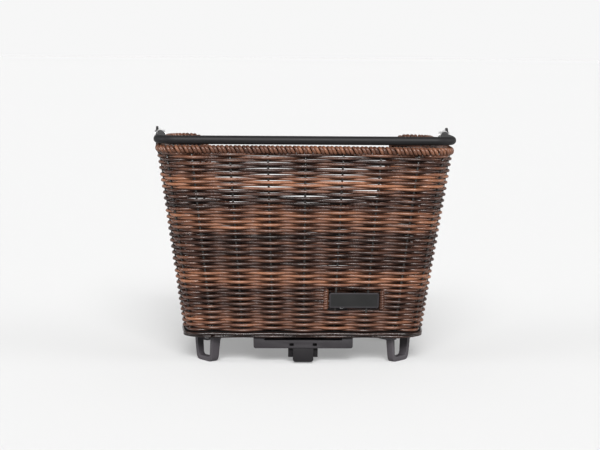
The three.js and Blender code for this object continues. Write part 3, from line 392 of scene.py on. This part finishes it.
def wicker_finish(name, bands):
    """Marbled brown strands: tone by height in bands, by strand and along each strand."""
    strand_shift = 0.37
    long_scale, short_scale, grain_scale = 9.0, 55.0, (300.0, 300.0, 2600.0)
    long_share, short_share, grain_share = 1.1, 0.5, 0.3
    least_gloss, gloss_change = 0.20, 0.16
    material, shade = new_finish(name)
    place = shade.node("TexCoord", {}, {}, "Object")
    parts = [shade.node("SeparateXYZ", {}, {"Vector": place}, i) for i in range(3)]
    number = shade.node("Attribute", {"attribute_name": "strand"}, {}, "Fac")
    along = shade.node("CombineXYZ", {}, {"X": parts[0], "Y": parts[1], "Z": strand_shift * number})
    long_streak = noise_at(shade, along, long_scale, detail=3.0)
    short_streak = noise_at(shade, along, short_scale)
    height = parts[2] * (1 / rim_height)
    stops = [(z / rim_height, (tone, tone, tone)) for z, tone in bands]
    band = shade.node("ValToRGB", {"stops": stops}, {"Fac": height})
    fine = shade.node("VectorMath", {"operation": "MULTIPLY"}, {0: place, 1: grain_scale})
    grain = noise_at(shade, fine, 1.0)
    tone = band + long_share * (long_streak - 0.5)
    tone = tone + short_share * (short_streak - 0.5) + grain_share * (grain - 0.5)
    colours = [
        (0.0, (0.010, 0.0054, 0.0043)),
        (0.3, (0.034, 0.0162, 0.0116)),
        (0.6, (0.098, 0.045, 0.0275)),
        (1.0, (0.210, 0.096, 0.052)),
    ]
    colour = shade.node("ValToRGB", {"stops": colours}, {"Fac": tone})
    bump = shade.node("Bump", {}, {"Strength": 0.45, "Distance": 0.0002, "Height": grain})
    gloss = least_gloss + gloss_change * short_streak
    surfaced(shade, {"Base Color": colour, "Roughness": gloss, "Specular IOR Level": 0.33, "Normal": bump})
    return material


wall_bands = [
    (0.040, 0.02),
    (0.046, 0.12),
    (0.050, 0.42),
    (0.063, 0.55),
    (0.083, 0.36),
    (0.108, 0.34),
    (0.118, 0.70),
    (0.132, 0.70),
    (0.142, 0.32),
    (0.186, 0.30),
    (0.197, 0.62),
    (0.218, 0.68),
    (0.227, 0.23),
    (0.247, 0.25),
    (0.255, 0.74),
    (0.268, 0.74),
    (0.277, 0.34),
    (0.298, 0.34),
]
wall_wicker = wicker_finish("marbled_strands", wall_bands)


def strand_mesh(name, paths, radius, sides, twist="Z_UP"):
    """Strands as one mesh, with each strand's number kept on its points."""
    mesh = swept(name, [(points, closed) for points, closed, _ in paths], radius, sides, twist)
    numbers = [number for points, _, number in paths for _ in range(len(points) * sides)]
    mesh.attributes.new("strand", "FLOAT", "POINT").data.foreach_set("value", numbers)
    return capped(mesh)


floor_rows = int(2 * (base_half_depth - floor_edge) / floor_pitch)
floor_paths = []
for row in range(floor_rows):
    y = floor_pitch * (row - (floor_rows - 1) / 2)
    into_corner = max(0.0, abs(y) - (base_half_depth - base_corner)) / base_corner
    end = base_half_width - base_corner + base_corner * math.sqrt(1 - into_corner * into_corner) - floor_edge
    crossings = [-end] + [x for x in floor_wires if abs(x) < end - crossing_room] + [end]
    points = []
    for i, (left, right) in enumerate(zip(crossings, crossings[1:])):
        for step in range(span_steps):
            share = step / span_steps
            side = 1 if (i + row) % 2 else -1
            rise = math.cos(math.pi * share) * side
            points.append(Vector((mixed(left, right, share), y, base_height + rise * floor_lay)))
    points.append(Vector((end, y, base_height)))
    floor_paths.append((points, False, row))
floor_weave = strand_mesh("floor_weave", floor_paths, floor_strand / 2, strand_sides)
add_piece("floor_weave", floor_weave, wall_wicker, "basket", "wicker", "woven_floor")

# Woven wall. Rows of round strands, each over one stake and under the next, packed close from the base hoop
# to the border. Rows that meet the dip end under its border, and rows at the name plate end in its bindings.
# Two more strands are laid round the outside of the base hoop and close the weave below.
wall_strand = 0.0046
wall_lay = 0.0036
pressed_thin = 0.09
bend_sharpness = 0.4
row_count = 61
packed_rows, packed_pitch = 17, 0.90
border = 0.012
border_cover = border / 3
top_lift = 0.0016
bottom_row = base_height + base_wire / 2 + wall_strand / 2
top_row = rim_height - border / 2 - wall_strand / 2 + top_lift
row_gaps = [packed_pitch if row < packed_rows else 1.0 for row in range(1, row_count)]
row_shares = [sum(row_gaps[:row]) / sum(row_gaps) for row in range(row_count)]
row_heights = [mixed(bottom_row, top_row, share) for share in row_shares]
plate_middle = middle_of("name_plate")
window_rows = range(8, 16)
binding_half = 0.0399
unevenness, drift_scale, drift_step = 0.0009, 11, 7.3
swing_change, swing_scale, swing_step = 0.12, 14, 2.3
corner_pull, corner_reach = 0.3, 0.012


def beats_at(z, phase, laps):
    """Distances round the wall at a height, with how far a strand leans out or in there."""
    marks = [distance_of(station, z) for station in stakes]
    around = sum(stretches(z))
    marks.append(marks[0] + around)
    for lap in range(laps):
        for i, (mark, following) in enumerate(zip(marks, marks[1:])):
            side = 1 if (i + phase) % 2 else -1
            for step in range(span_steps):
                share = step / span_steps
                lean = math.cos(math.pi * share)
                lean *= abs(lean) ** bend_sharpness
                yield lap * around + mixed(mark, following, share), side * lean


def row_point(row, distance, lean):
    """A point of a row with its thickness: rows drift and swing a little, and lie tight at the corners."""
    z = row_heights[row]
    flat = wall_at(distance, z)
    drift = noise.noise(Vector((flat.x * drift_scale, flat.y * drift_scale, row * drift_step)))
    half_width, half_depth, corner = wall_level(z)
    into_corner = min(abs(flat.x) - half_width, abs(flat.y) - half_depth) + corner
    tight = max(0.0, min(1.0, 1 + into_corner / corner_reach))
    swing = noise.noise(Vector((flat.x * swing_scale, flat.y * swing_scale, row * swing_step)))
    swing = 1 + swing_change * swing - corner_pull * tight
    point = wall_at(distance, z + unevenness * drift, wall_lay * lean * swing)
    return (*point, 1 - pressed_thin * (1 - abs(lean)))


def open_row(row, start, stop):
    """A row between two distances, where the second may lie a lap further on."""
    beats = [beat for beat in beats_at(row_heights[row], row, 2) if start < beat[0] < stop]
    beats = [(start, beats[0][1]), *beats, (stop, beats[-1][1])]
    return [row_point(row, *beat) for beat in beats]


closing_lays = ((0.0046, 0.0002), (0.0027, -0.0038))
closing_wave = 0.0011
closing_thickness = 0.93
wall_paths = []
for strand, (outward, rise) in enumerate(closing_lays):
    points = []
    for distance, lean in beats_at(base_height, strand, 1):
        point = wall_at(distance, base_height + rise, outward + closing_wave * lean)
        points.append((*point, closing_thickness))
    wall_paths.append((points, True, row_count + strand))
for row, z in enumerate(row_heights):
    around = sum(stretches(z))
    dip = dip_width(z, border_cover)
    if row in window_rows:
        middle, gap = distance_of(front_middle, z) + plate_middle.x, binding_half
    elif dip is not None:
        middle, gap = distance_of(back_middle, z), dip
    else:
        wall_paths.append(([row_point(row, *beat) for beat in beats_at(z, row, 1)], True, row))
        continue
    wall_paths.append((open_row(row, middle + gap, middle - gap + around), False, row))
wall_pieces = 4
for i in range(wall_pieces):
    share = len(wall_paths) / wall_pieces
    part = wall_paths[round(i * share):round((i + 1) * share)]
    mesh = strand_mesh(f"wall_weave_{i + 1}", part, wall_strand / 2, strand_sides)
    add_piece(f"wall_weave_{i + 1}", mesh, wall_wicker, "basket", "wicker", "woven_wall")

# Border. Two strands wound side by side round the rim wire, all the way along it and through the dip. They
# cover the ends of the stakes and hold the top row down. A thinner strand is wound in the same way up both
# edges of the name plate's window, and holds the ends of the rows there.
border_strand = 0.0049
border_lead = 0.0117
border_steps, border_sides = 16, 10
border_slack, slack_scale = 0.5, 70
border_loose, loose_scale, loose_step = 0.05, 0.11, 5.0
border_tone = 0.51
border_number = 100
pair_gap = 0.45


def evenly(line, count):
    """A closed line of points, made again with that many even steps."""
    ends = list(zip(line, line[1:] + line[:1]))
    lengths = [(b - a).length for a, b in ends]
    step = sum(lengths) / count
    points, i, start = [], 0, 0.0
    for k in range(count):
        while k * step > start + lengths[i] and i < len(ends) - 1:
            start += lengths[i]
            i += 1
        points.append(ends[i][0].lerp(ends[i][1], (k * step - start) / lengths[i]))
    return points


rim = rim_line()
rim_length = sum((b - a).length for a, b in zip(rim, rim[1:] + rim[:1]))
border_turns = round(rim_length / border_lead)
rim = evenly(rim, border_turns * border_steps)
wrap_radius = (rim_core + border_strand) / 2
border_paths = []
for strand in range(2):
    points = []
    for k, point in enumerate(rim):
        ahead = (rim[(k + 1) % len(rim)] - rim[k - 1]).normalized()
        level = Vector((ahead.x, ahead.y, 0)).normalized()
        out = level.cross(Vector((0, 0, 1)))
        out = (out - ahead * out.dot(ahead)).normalized()
        down = ahead.cross(out)
        slack = border_slack * noise.noise(point * slack_scale)
        turn = 2 * math.pi * (k / border_steps + strand * pair_gap) + slack
        loose = 1 + border_loose * noise.noise(Vector((k * loose_scale, strand * loose_step, 0)))
        points.append(point + wrap_radius * loose * (out * math.cos(turn) + down * math.sin(turn)))
    border_paths.append((points, True, border_number + strand))
border_wicker = wicker_finish("border_strands", [(0.0, border_tone), (rim_height, border_tone)])
border_mesh = strand_mesh("border_wrap", border_paths, border_strand / 2, border_sides, "MINIMUM")
add_piece("border_wrap", border_mesh, border_wicker, "basket", "wicker", "rim_border")
binding_strand = 0.0036
binding_reach = 0.0024
binding_steps = 12
binding_tone = 0.42
binding_number = 110
binding_low = row_heights[window_rows[0]] - binding_strand / 2
binding_high = row_heights[window_rows[-1]] + binding_strand / 2
binding_length = (len(window_rows) + 1) * binding_steps
binding_paths = []
for side in (-1, 1):
    points = []
    for step in range(binding_length + 1):
        turn = 2 * math.pi * step / binding_steps
        z = mixed(binding_low, binding_high, step / binding_length)
        middle = distance_of(front_middle, z) + plate_middle.x + side * binding_half
        tucked = max(0.0, 1 - min(step, binding_length - step) / (binding_steps / 2))
        reach = binding_reach * (1 - tucked)
        outward = reach * math.cos(turn) - binding_reach * tucked
        points.append(wall_at(middle + reach * math.sin(turn), z, outward))
    binding_paths.append((points, False, binding_number + side))
binding_wicker = wicker_finish("binding_strands", [(0.0, binding_tone), (rim_height, binding_tone)])
binding_mesh = strand_mesh("window_binding", binding_paths, binding_strand / 2, border_sides, "MINIMUM")
add_piece("window_binding", binding_mesh, binding_wicker, "basket", "wicker", "woven_wall")

# Name plate. A small bare plastic plate in its window in the front wall, its face sunk inside a narrow rim.
# Two bosses on its back pass between the stakes to a steel strip inside, where two screws hold it.
plate_width = 0.070
plate_height = 0.022
plate_thickness = 0.0025
plate_corner, plate_corner_steps = 0.0025, 5
plate_edge, plate_edge_steps = 0.0005, 2
plate_rim = 0.0012
plate_slope = 0.0004
plate_sink = 0.0004
boss_radius = 0.003
boss_sides = 20
plate_thread = 0.0024
backing_edge = 0.0004
fit = 0.0003
stake_clear = stake_wire / 2 + fit
front_lean = math.atan2(rim_half_depth - base_half_depth, rim_height - base_height)
plate_z = plate_middle.z + math.sin(front_lean) * (stake_clear + plate_thickness / 2)
plate_frame = Matrix.Translation((plate_middle.x, -wall_level(plate_z)[1], plate_z))
plate_frame = plate_frame @ Matrix.Rotation(front_lean, 4, "X")


def rounded_edges(form, edges, width, segments):
    bmesh.ops.bevel(
        form, geom=edges, offset=width, segments=segments, profile=0.5, affect="EDGES", material=-1,
        clamp_overlap=True,
    )


def finished(name, form):
    """A form as a mesh, smooth apart from its sharp edges."""
    smooth_below = math.radians(35)
    mesh = bpy.data.meshes.new(name)
    form.to_mesh(mesh)
    form.free()
    mesh.shade_smooth()
    mesh.set_sharp_from_angle(angle=smooth_below)
    return mesh


def turned(rings, tube=False):
    """A turned or six-sided form along Z: rings of radius, height and whether six-sided, bridged in turn."""
    sides = 24
    form = bmesh.new()
    for radius, height, six_sided in rings:
        corners = bmesh.ops.create_circle(form, radius=1.0, segments=sides)["verts"]
        for corner in corners:
            facet = (math.atan2(corner.co.y, corner.co.x) + math.pi / 6) % (math.pi / 3) - math.pi / 6
            reach = radius / math.cos(facet) if six_sided else radius
            corner.co = Vector((corner.co.x * reach, corner.co.y * reach, height))
    edges = list(form.edges)
    loops = [edges[i * sides:(i + 1) * sides] for i in range(len(rings))]
    following = loops[1:] + loops[:1] if tube else loops[1:]
    for lower, upper in zip(loops, following):
        bmesh.ops.bridge_loops(form, edges=lower + upper)
    if not tube:
        bmesh.ops.holes_fill(form, edges=[edge for edge in form.edges if edge.is_boundary], sides=0)
    bmesh.ops.recalc_face_normals(form, faces=form.faces)
    return form


def axis_frame(node, axis):
    """A frame at one end of a part, with its Z along the part's axis, and the part's length."""
    turn = Vector(axis).to_track_quat("Z", "Y").to_matrix()
    spots = [turn.transposed() @ vert.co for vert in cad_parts[node].data.vertices]
    low = Vector([min(spot[i] for spot in spots) for i in range(3)])
    high = Vector([max(spot[i] for spot in spots) for i in range(3)])
    start = turn @ Vector(((low.x + high.x) / 2, (low.y + high.y) / 2, low.z))
    if high.x - low.x > high.y - low.y:
        turn = turn @ Matrix.Rotation(math.pi / 2, 3, "Z")
    return Matrix.Translation(start) @ turn.to_4x4(), high.z - low.z


zinc = coat_finish("zinc_plated_steel", (0.60, 0.60, 0.60), (0.80, 0.80, 0.79), 0.36, 900.0, 0.00003, 1.0)


def socket_screw(node, diameter, axis):
    """A screw with a low round head and a hexagon socket, its head towards the axis."""
    place, length = axis_frame(node, axis)
    radius, head, socket = diameter / 2, 0.95 * diameter, 0.33 * diameter
    seat = length - 0.45 * diameter
    pitch, thread_turns = 0.17 * diameter, 6
    tip, groove, lead_in = 0.75 * radius, 0.85 * radius, 0.25 * radius
    rings = [(tip, 0.0, False), (radius, lead_in, False)]
    for turn in range(thread_turns):
        start = lead_in + turn * pitch
        rings += [(groove, start + pitch / 2, False), (radius, start + pitch, False)]
    dome = ((0.95, 0.0), (1.0, 0.06), (0.97, 0.18), (0.86, 0.31), (0.66, 0.40))
    rings.append((radius, seat, False))
    rings += [(share * head, seat + rise * diameter, False) for share, rise in dome]
    rings += [(socket, seat + rise * diameter, True) for rise in (0.40, 0.14)]
    form = turned(rings)
    bmesh.ops.transform(form, matrix=place, verts=form.verts)
    add_piece(node + "_turned", finished(node + "_turned", form), zinc, "basket", "steel", node)


def softened(node, width, corner):
    """A part's mesh as one closed form, its sharp edges rounded and its lower side edges by a corner."""
    merge_gap, flat_angle, sharp_angle = 0.00002, math.radians(1), math.radians(32)
    corner_steps, edge_steps = 4, 2
    form = bmesh.new()
    form.from_mesh(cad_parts[node].data)
    bmesh.ops.remove_doubles(form, verts=form.verts, dist=merge_gap)
    bmesh.ops.dissolve_limit(form, angle_limit=flat_angle, verts=form.verts, edges=form.edges)
    if corner:
        low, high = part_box(node)
        low_sides = [
            vert for vert in form.verts
            if vert.co.z < low.z + fit and min(vert.co.x - low.x, high.x - vert.co.x) < fit
        ]
        side_edges = [edge for edge in form.edges if all(vert in low_sides for vert in edge.verts)]
        rounded_edges(form, side_edges, corner, corner_steps)
    sharp_edges = [edge for edge in form.edges if edge.calc_face_angle(0) > sharp_angle]
    rounded_edges(form, sharp_edges, width, edge_steps)
    return finished(node + "_rounded", form)


def rounded_piece(node, width, finish, body, slot, corner=0.0):
    add_piece(node + "_rounded", softened(node, width, corner), finish, body, slot, node)


moulding = coat_finish(
    "black_moulding", (0.016, 0.0142, 0.016), (0.023, 0.0205, 0.023), 0.58, 1100.0, 0.00012, sheen=0.3
)
plate_gloss = coat_finish(
    "plate_face", (0.011, 0.011, 0.011), (0.016, 0.016, 0.016), 0.30, 500.0, 0.00002, sheen=0.3
)
form = bmesh.new()
bmesh.ops.create_cube(form, size=1.0)
bmesh.ops.scale(form, vec=(plate_width, plate_thickness, plate_height), verts=form.verts)
bmesh.ops.translate(form, vec=(0, -stake_clear - plate_thickness / 2, 0), verts=form.verts)
corner_edges = [
    edge for edge in form.edges
    if abs(edge.verts[0].co.y - edge.verts[1].co.y) > plate_thickness / 2
]
rounded_edges(form, corner_edges, plate_corner, plate_corner_steps)
front = min(form.faces, key=lambda face: face.calc_center_median().y)
rounded_edges(form, list(front.edges), plate_edge, plate_edge_steps)
front = min(form.faces, key=lambda face: face.calc_center_median().y)
bmesh.ops.inset_region(form, faces=[front], thickness=plate_rim)
bmesh.ops.inset_region(form, faces=[front], thickness=plate_slope, depth=-plate_sink)
front.material_index = 1
for side in ("left", "right"):
    boss_x = middle_of("name_plate_screw_" + side).x - plate_middle.x
    boss = Matrix.Translation((boss_x, -plate_thickness / 4, 0)) @ Matrix.Rotation(math.pi / 2, 4, "X")
    bmesh.ops.create_cone(
        form, cap_ends=True, segments=boss_sides, radius1=boss_radius, radius2=boss_radius,
        depth=2 * stake_clear, matrix=boss,
    )
bmesh.ops.transform(form, matrix=plate_frame, verts=form.verts)
plate_mesh = finished("bare_plate", form)
add_piece("bare_plate", plate_mesh, moulding, "basket", "black_plastic", "name_plate")
plate_mesh.materials.append(plate_gloss)
rounded_piece("name_plate_backing", backing_edge, powder_coat, "basket", "black_wire")
for side in ("left", "right"):
    socket_screw("name_plate_screw_" + side, plate_thread, plate_frame.to_3x3() @ Vector((0, 1, 0)))

# Pivot brackets. Steel strips with a black powder coat, bent out past the border to carry the handle. Each
# is clamped through the weave to a backing strip inside by two screws and nuts.
bracket_edge = 0.0006
bracket_backing_edge = 0.0005
bracket_thread = 0.004
side_lean = math.atan2(rim_half_width - base_half_width, rim_height - base_height)


def nut_rings(diameter, start, height):
    """The rings of a plain hexagon nut, round its bore."""
    flat, face, chamfer = 0.823 * diameter, 0.80 * diameter, 0.10 * diameter
    bore, top = diameter / 2 + fit, start + height
    return [
        (bore, top, False),
        (face, top, False),
        (flat, top - chamfer, True),
        (flat, start + chamfer, True),
        (face, start, False),
        (bore, start, False),
    ]


def hex_nut(node, diameter, axis):
    place, height = axis_frame(node, axis)
    form = turned(nut_rings(diameter, 0.0, height), tube=True)
    bmesh.ops.transform(form, matrix=place, verts=form.verts)
    add_piece(node + "_turned", finished(node + "_turned", form), zinc, "basket", "steel", node)


for side, outward in (("right", 1), ("left", -1)):
    rounded_piece("pivot_bracket_" + side, bracket_edge, powder_coat, "basket", "black_wire")
    rounded_piece("bracket_backing_" + side, bracket_backing_edge, powder_coat, "basket", "black_wire")
    square_on = (outward * math.cos(side_lean), 0, -math.sin(side_lean))
    for level in ("upper", "lower"):
        socket_screw(f"bracket_screw_{side}_{level}", bracket_thread, square_on)
        hex_nut(f"bracket_nut_{side}_{level}", bracket_thread, square_on)

# Folding handle. One bent tube with a semi-gloss black coat, its ends pressed flat into bare eyes. Each eye
# turns on a bolt through a pivot bracket, with a nut on the inside, and the handle rests folded on the rim.
tube = 0.012
tube_bend = 0.025
eye_width = 0.015
eye_thickness = 0.004
eye_flat = 0.016
eye_blend = 0.026
eye_turns = (89, 78, 66, 52, 36, 18, 0)
blend_steps, bend_steps, tube_sides = 10, 12, 28
eye_crease = math.radians(50)
coat_end = -eye_flat - eye_blend / 2
pivot_thread = 0.006
handle_low, handle_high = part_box("handle_tube")
arm_x = handle_high.x - tube / 2
bar_y = handle_low.y + tube / 2
pivot_z = (handle_low.z + handle_high.z) / 2
tube_coat = coat_finish(
    "black_tube_coat", (0.006, 0.0056, 0.006), (0.009, 0.0084, 0.009), 0.54, 700.0, 0.00003, sheen=0.22
)
arm = [eye_width / 2 * math.sin(math.radians(turn)) for turn in eye_turns]
arm += [-eye_flat - eye_blend * step / blend_steps for step in range(blend_steps + 1)]
path = [Vector((arm_x, y, pivot_z)) for y in arm]
for step in range(bend_steps + 1):
    turn = math.pi / 2 * step / bend_steps
    corner = Vector((arm_x - tube_bend, bar_y + tube_bend, pivot_z))
    path.append(corner + tube_bend * Vector((math.cos(turn), -math.sin(turn), 0)))
path += [Vector((-point.x, point.y, point.z)) for point in reversed(path)]
handle_mesh = swept("folding_handle", [(path, False)], tube / 2, tube_sides)
for vert in handle_mesh.vertices:
    spot = vert.co
    if spot.y < -eye_flat - eye_blend:
        continue
    share = min(1.0, (spot.y + eye_flat + eye_blend) / eye_blend)
    share = share * share * (3 - 2 * share)
    outward = 1 if spot.x > 0 else -1
    across, upward = abs(spot.x) - arm_x, spot.z - pivot_z
    half_thickness = mixed(tube, eye_thickness, share) / 2
    half_width = mixed(tube, eye_width, share) / 2
    if spot.y > 0:
        half_width = math.sqrt(max(0.0, half_width * half_width - spot.y * spot.y))
    flattened = max(-half_thickness, min(half_thickness, across)) + tube / 2 - half_thickness
    spot.x = outward * (arm_x + flattened)
    spot.z = pivot_z + upward * half_width / (tube / 2)
handle_mesh = capped(handle_mesh)
handle_mesh.shade_smooth()
handle_mesh.set_sharp_from_angle(angle=eye_crease)
for face in handle_mesh.polygons:
    if face.center.y > coat_end:
        face.material_index = 1
add_piece("folding_handle", handle_mesh, tube_coat, "handle", "handle_tube", "handle_tube")
handle_mesh.materials.append(zinc)
for side, outward in (("right", 1), ("left", -1)):
    socket_screw("pivot_bolt_" + side, pivot_thread, (outward, 0, 0))
    hex_nut("pivot_nut_" + side, pivot_thread, (outward, 0, 0))

# Feet. Moulded strap loops of black plastic, set diagonally across the bottom corners, with one leg wider
# than the other and both narrower towards the sole. A screw up through each flange holds the foot to a nut
# inside the floor, which has a wide washer.
washer_radius = 0.009
washer_height = 0.0015
washer_shape = ((0.97, 1.0), (1.0, 0.85), (1.0, 0.15), (0.97, 0.0))
foot_edge = 0.0012
foot_taper = 0.85
foot_thread = 0.005
# The feet's moulding is a lighter copy of the black moulding: painted light, for the feet catching light in
# front of the basket's shadow.
painted_light_foot_moulding = coat_finish(
    "painted_light_foot_moulding", (0.037, 0.033, 0.037), (0.050, 0.045, 0.050), 0.58, 1100.0, 0.00012, sheen=0.3
)
corner_names = ("front_left", "front_right", "back_right", "back_left")
for corner in corner_names:
    foot = "foot_" + corner
    foot_low, foot_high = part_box(foot)
    foot_middle = middle_of(foot)
    foot_mesh = softened(foot, foot_edge, 0.0)
    for vert in foot_mesh.vertices:
        narrowed = mixed(foot_taper, 1.0, (vert.co.z - foot_low.z) / (foot_high.z - foot_low.z))
        vert.co.x = mixed(foot_middle.x, vert.co.x, narrowed)
        vert.co.y = mixed(foot_middle.y, vert.co.y, narrowed)
    add_piece(foot + "_rounded", foot_mesh, painted_light_foot_moulding, "basket", "black_plastic", foot)
    socket_screw("foot_screw_" + corner, foot_thread, (0, 0, -1))
    nut = "foot_nut_" + corner
    place, height = axis_frame(nut, (0, 0, 1))
    rings = nut_rings(foot_thread, washer_height, height - washer_height)
    bore, flat = rings[0][0], rings[2][0]
    rings = [*rings[:3], (flat, washer_height, True)]
    rings += [(share * washer_radius, rise * washer_height, False) for share, rise in washer_shape]
    form = turned([*rings, (bore, 0.0, False)], tube=True)
    bmesh.ops.transform(form, matrix=place, verts=form.verts)
    add_piece(nut + "_turned", finished(nut + "_turned", form), zinc, "basket", "steel", nut)

# Rack adapter. A moulded plate on two long pads under the floor, with a lipped channel for the rack's rail
# and a bar across its front. Four screws from a clamping plate inside the basket hold it against the weave.
adapter_edge = 0.0010
adapter_corner = 0.003
clamp_edge = 0.0008
adapter_thread = 0.004
rounded_piece("adapter_plate", adapter_edge, moulding, "basket", "black_plastic", adapter_corner)
rounded_piece("adapter_clamp_plate", clamp_edge, moulding, "basket", "black_plastic")
for corner in corner_names:
    socket_screw("adapter_screw_" + corner, adapter_thread, (0, 0, 1))

# Latch. A moulded lever with a tongue to press and two hooks that catch the rail. It turns on a steel pin in
# the adapter's front bar, and a coil spring round the pin pushes it back.
lever_edge = 0.0008
pin_radius = 0.0015
pin_chamfer = 0.0003
spring_wire = 0.0008
spring_turns, spring_steps, spring_sides = 5, 20, 10
# The latch's moulding is a darker copy of the black moulding: painted shade, for the lever lying in the
# basket's shadow.
painted_shade_latch_moulding = coat_finish(
    "painted_shade_latch_moulding", (0.006, 0.0053, 0.006), (0.009, 0.0080, 0.009), 0.62, 1100.0, 0.00012, sheen=0.2
)
rounded_piece("latch_lever", lever_edge, painted_shade_latch_moulding, "latch", "black_plastic")
place, length = axis_frame("latch_pin", (1, 0, 0))
ends = ((pin_radius - pin_chamfer, 0.0), (pin_radius, pin_chamfer))
rings = [(radius, height, False) for radius, height in ends]
rings += [(radius, length - height, False) for radius, height in reversed(ends)]
form = turned(rings)
bmesh.ops.transform(form, matrix=place, verts=form.verts)
add_piece("latch_pin_turned", finished("latch_pin_turned", form), zinc, "basket", "steel", "latch_pin")
spring_low, spring_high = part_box("latch_spring")
spring_middle = (spring_low + spring_high) / 2
spring_start, spring_end = spring_low.x + spring_wire / 2, spring_high.x - spring_wire / 2
coil_radius = pin_radius + fit + spring_wire / 2
coil_steps = spring_turns * spring_steps
coil = []
for step in range(coil_steps + 1):
    turn = 2 * math.pi * step / spring_steps
    advance = mixed(spring_start, spring_end, step / coil_steps)
    round_pin = Vector((0, math.cos(turn), math.sin(turn))) * coil_radius
    coil.append(Vector((advance, spring_middle.y, spring_middle.z)) + round_pin)
spring_mesh = capped(swept("coiled_spring", [(coil, False)], spring_wire / 2, spring_sides))
add_piece("coiled_spring", spring_mesh, zinc, "basket", "steel", "latch_spring")

# Stage. A seamless pale floor and backdrop, a grey ceiling and a dim room in front, with wide soft lamps in
# front, at both sides and behind, and a camera at the photograph's angle.
floor_radius, floor_sides = 60.0, 64
floor_tone, floor_glow = 0.330, 0.313
room_tone, backdrop_tone, ceiling_tone = 0.04, 0.937, 0.36
room_end, backdrop_start = -0.45, 0.15
backdrop_end, ceiling_start = 0.12, 0.45
floor = bpy.data.meshes.new("floor")
form = bmesh.new()
bmesh.ops.create_circle(form, cap_ends=True, radius=floor_radius, segments=floor_sides)
form.to_mesh(floor)
form.free()
ground = bpy.data.objects.new("floor", floor)
bpy.context.scene.collection.objects.link(ground)
floor_finish, shade = new_finish("pale_floor")
pale = (floor_tone, floor_tone, floor_tone, 1.0)
glow = {"Emission Color": (1.0, 1.0, 1.0, 1.0), "Emission Strength": floor_glow}
surfaced(shade, {"Base Color": pale, "Roughness": 0.9, "Specular IOR Level": 0.0, **glow})
floor.materials.append(floor_finish)

world = bpy.data.worlds.new("studio")
bpy.context.scene.world = world
world.use_nodes = True
world.node_tree.nodes.clear()
shade = Shade(world.node_tree)
direction = shade.node("TexCoord", {}, {}, "Generated")
parts = [shade.node("SeparateXYZ", {}, {"Vector": direction}, i) for i in range(3)]
smooth = {"interpolation_type": "SMOOTHSTEP"}
behind = shade.node("MapRange", smooth, {0: parts[1], 1: room_end, 2: backdrop_start})
above = shade.node("MapRange", smooth, {0: parts[2], 1: backdrop_end, 2: ceiling_start})
dim, bright, grey = [(tone, tone, tone, 1.0) for tone in (room_tone, backdrop_tone, ceiling_tone)]
walls = shade.node("Mix", {"data_type": "RGBA"}, {0: behind, 6: dim, 7: bright}, 2)
studio = shade.node("Mix", {"data_type": "RGBA"}, {0: above, 6: walls, 7: grey}, 2)
sky = shade.node("Background", {}, {"Color": studio, "Strength": 1.0})
output = shade.tree.nodes.new("ShaderNodeOutputWorld")
shade.tree.links.new(sky.socket, output.inputs["Surface"])


def soft_lamp(name, side, height, spread, power):
    """A far softbox: how far to the side and how high it stands, how wide it looks, in degrees."""
    lamp = bpy.data.lights.new(name, "SUN")
    lamp.angle = math.radians(spread)
    lamp.energy = power
    holder = bpy.data.objects.new(name, lamp)
    bpy.context.scene.collection.objects.link(holder)
    holder.rotation_euler = (math.radians(90 - height), 0.0, math.radians(side))


soft_lamp("left_light", -7, 32, 24, 3.35)
soft_lamp("right_light", 7, 32, 24, 3.35)
soft_lamp("left_side_light", -75, 10, 40, 2.5)
soft_lamp("right_side_light", 75, 10, 40, 2.5)
soft_lamp("back_light", 180, 50, 60, 0.4)

camera_place = (-0.080, -2.376, 0.450)
camera_lens = 97.0
pan, pitch, roll = math.radians(-1.875), math.radians(90 - 6.33), math.radians(0.45)
camera_data = bpy.data.cameras.new("camera")
camera_data.sensor_width = 36.0
camera_data.lens = camera_lens
camera = bpy.data.objects.new("camera", camera_data)
bpy.context.scene.collection.objects.link(camera)
camera.location = camera_place
facing = Matrix.Rotation(pan, 3, "Z") @ Matrix.Rotation(pitch, 3, "X")
camera.rotation_euler = (facing @ Matrix.Rotation(roll, 3, "Z")).to_euler()
bpy.context.scene.camera = camera
bpy.context.scene.view_settings.view_transform = "Standard"
bpy.context.scene.view_settings.gamma = 0.88
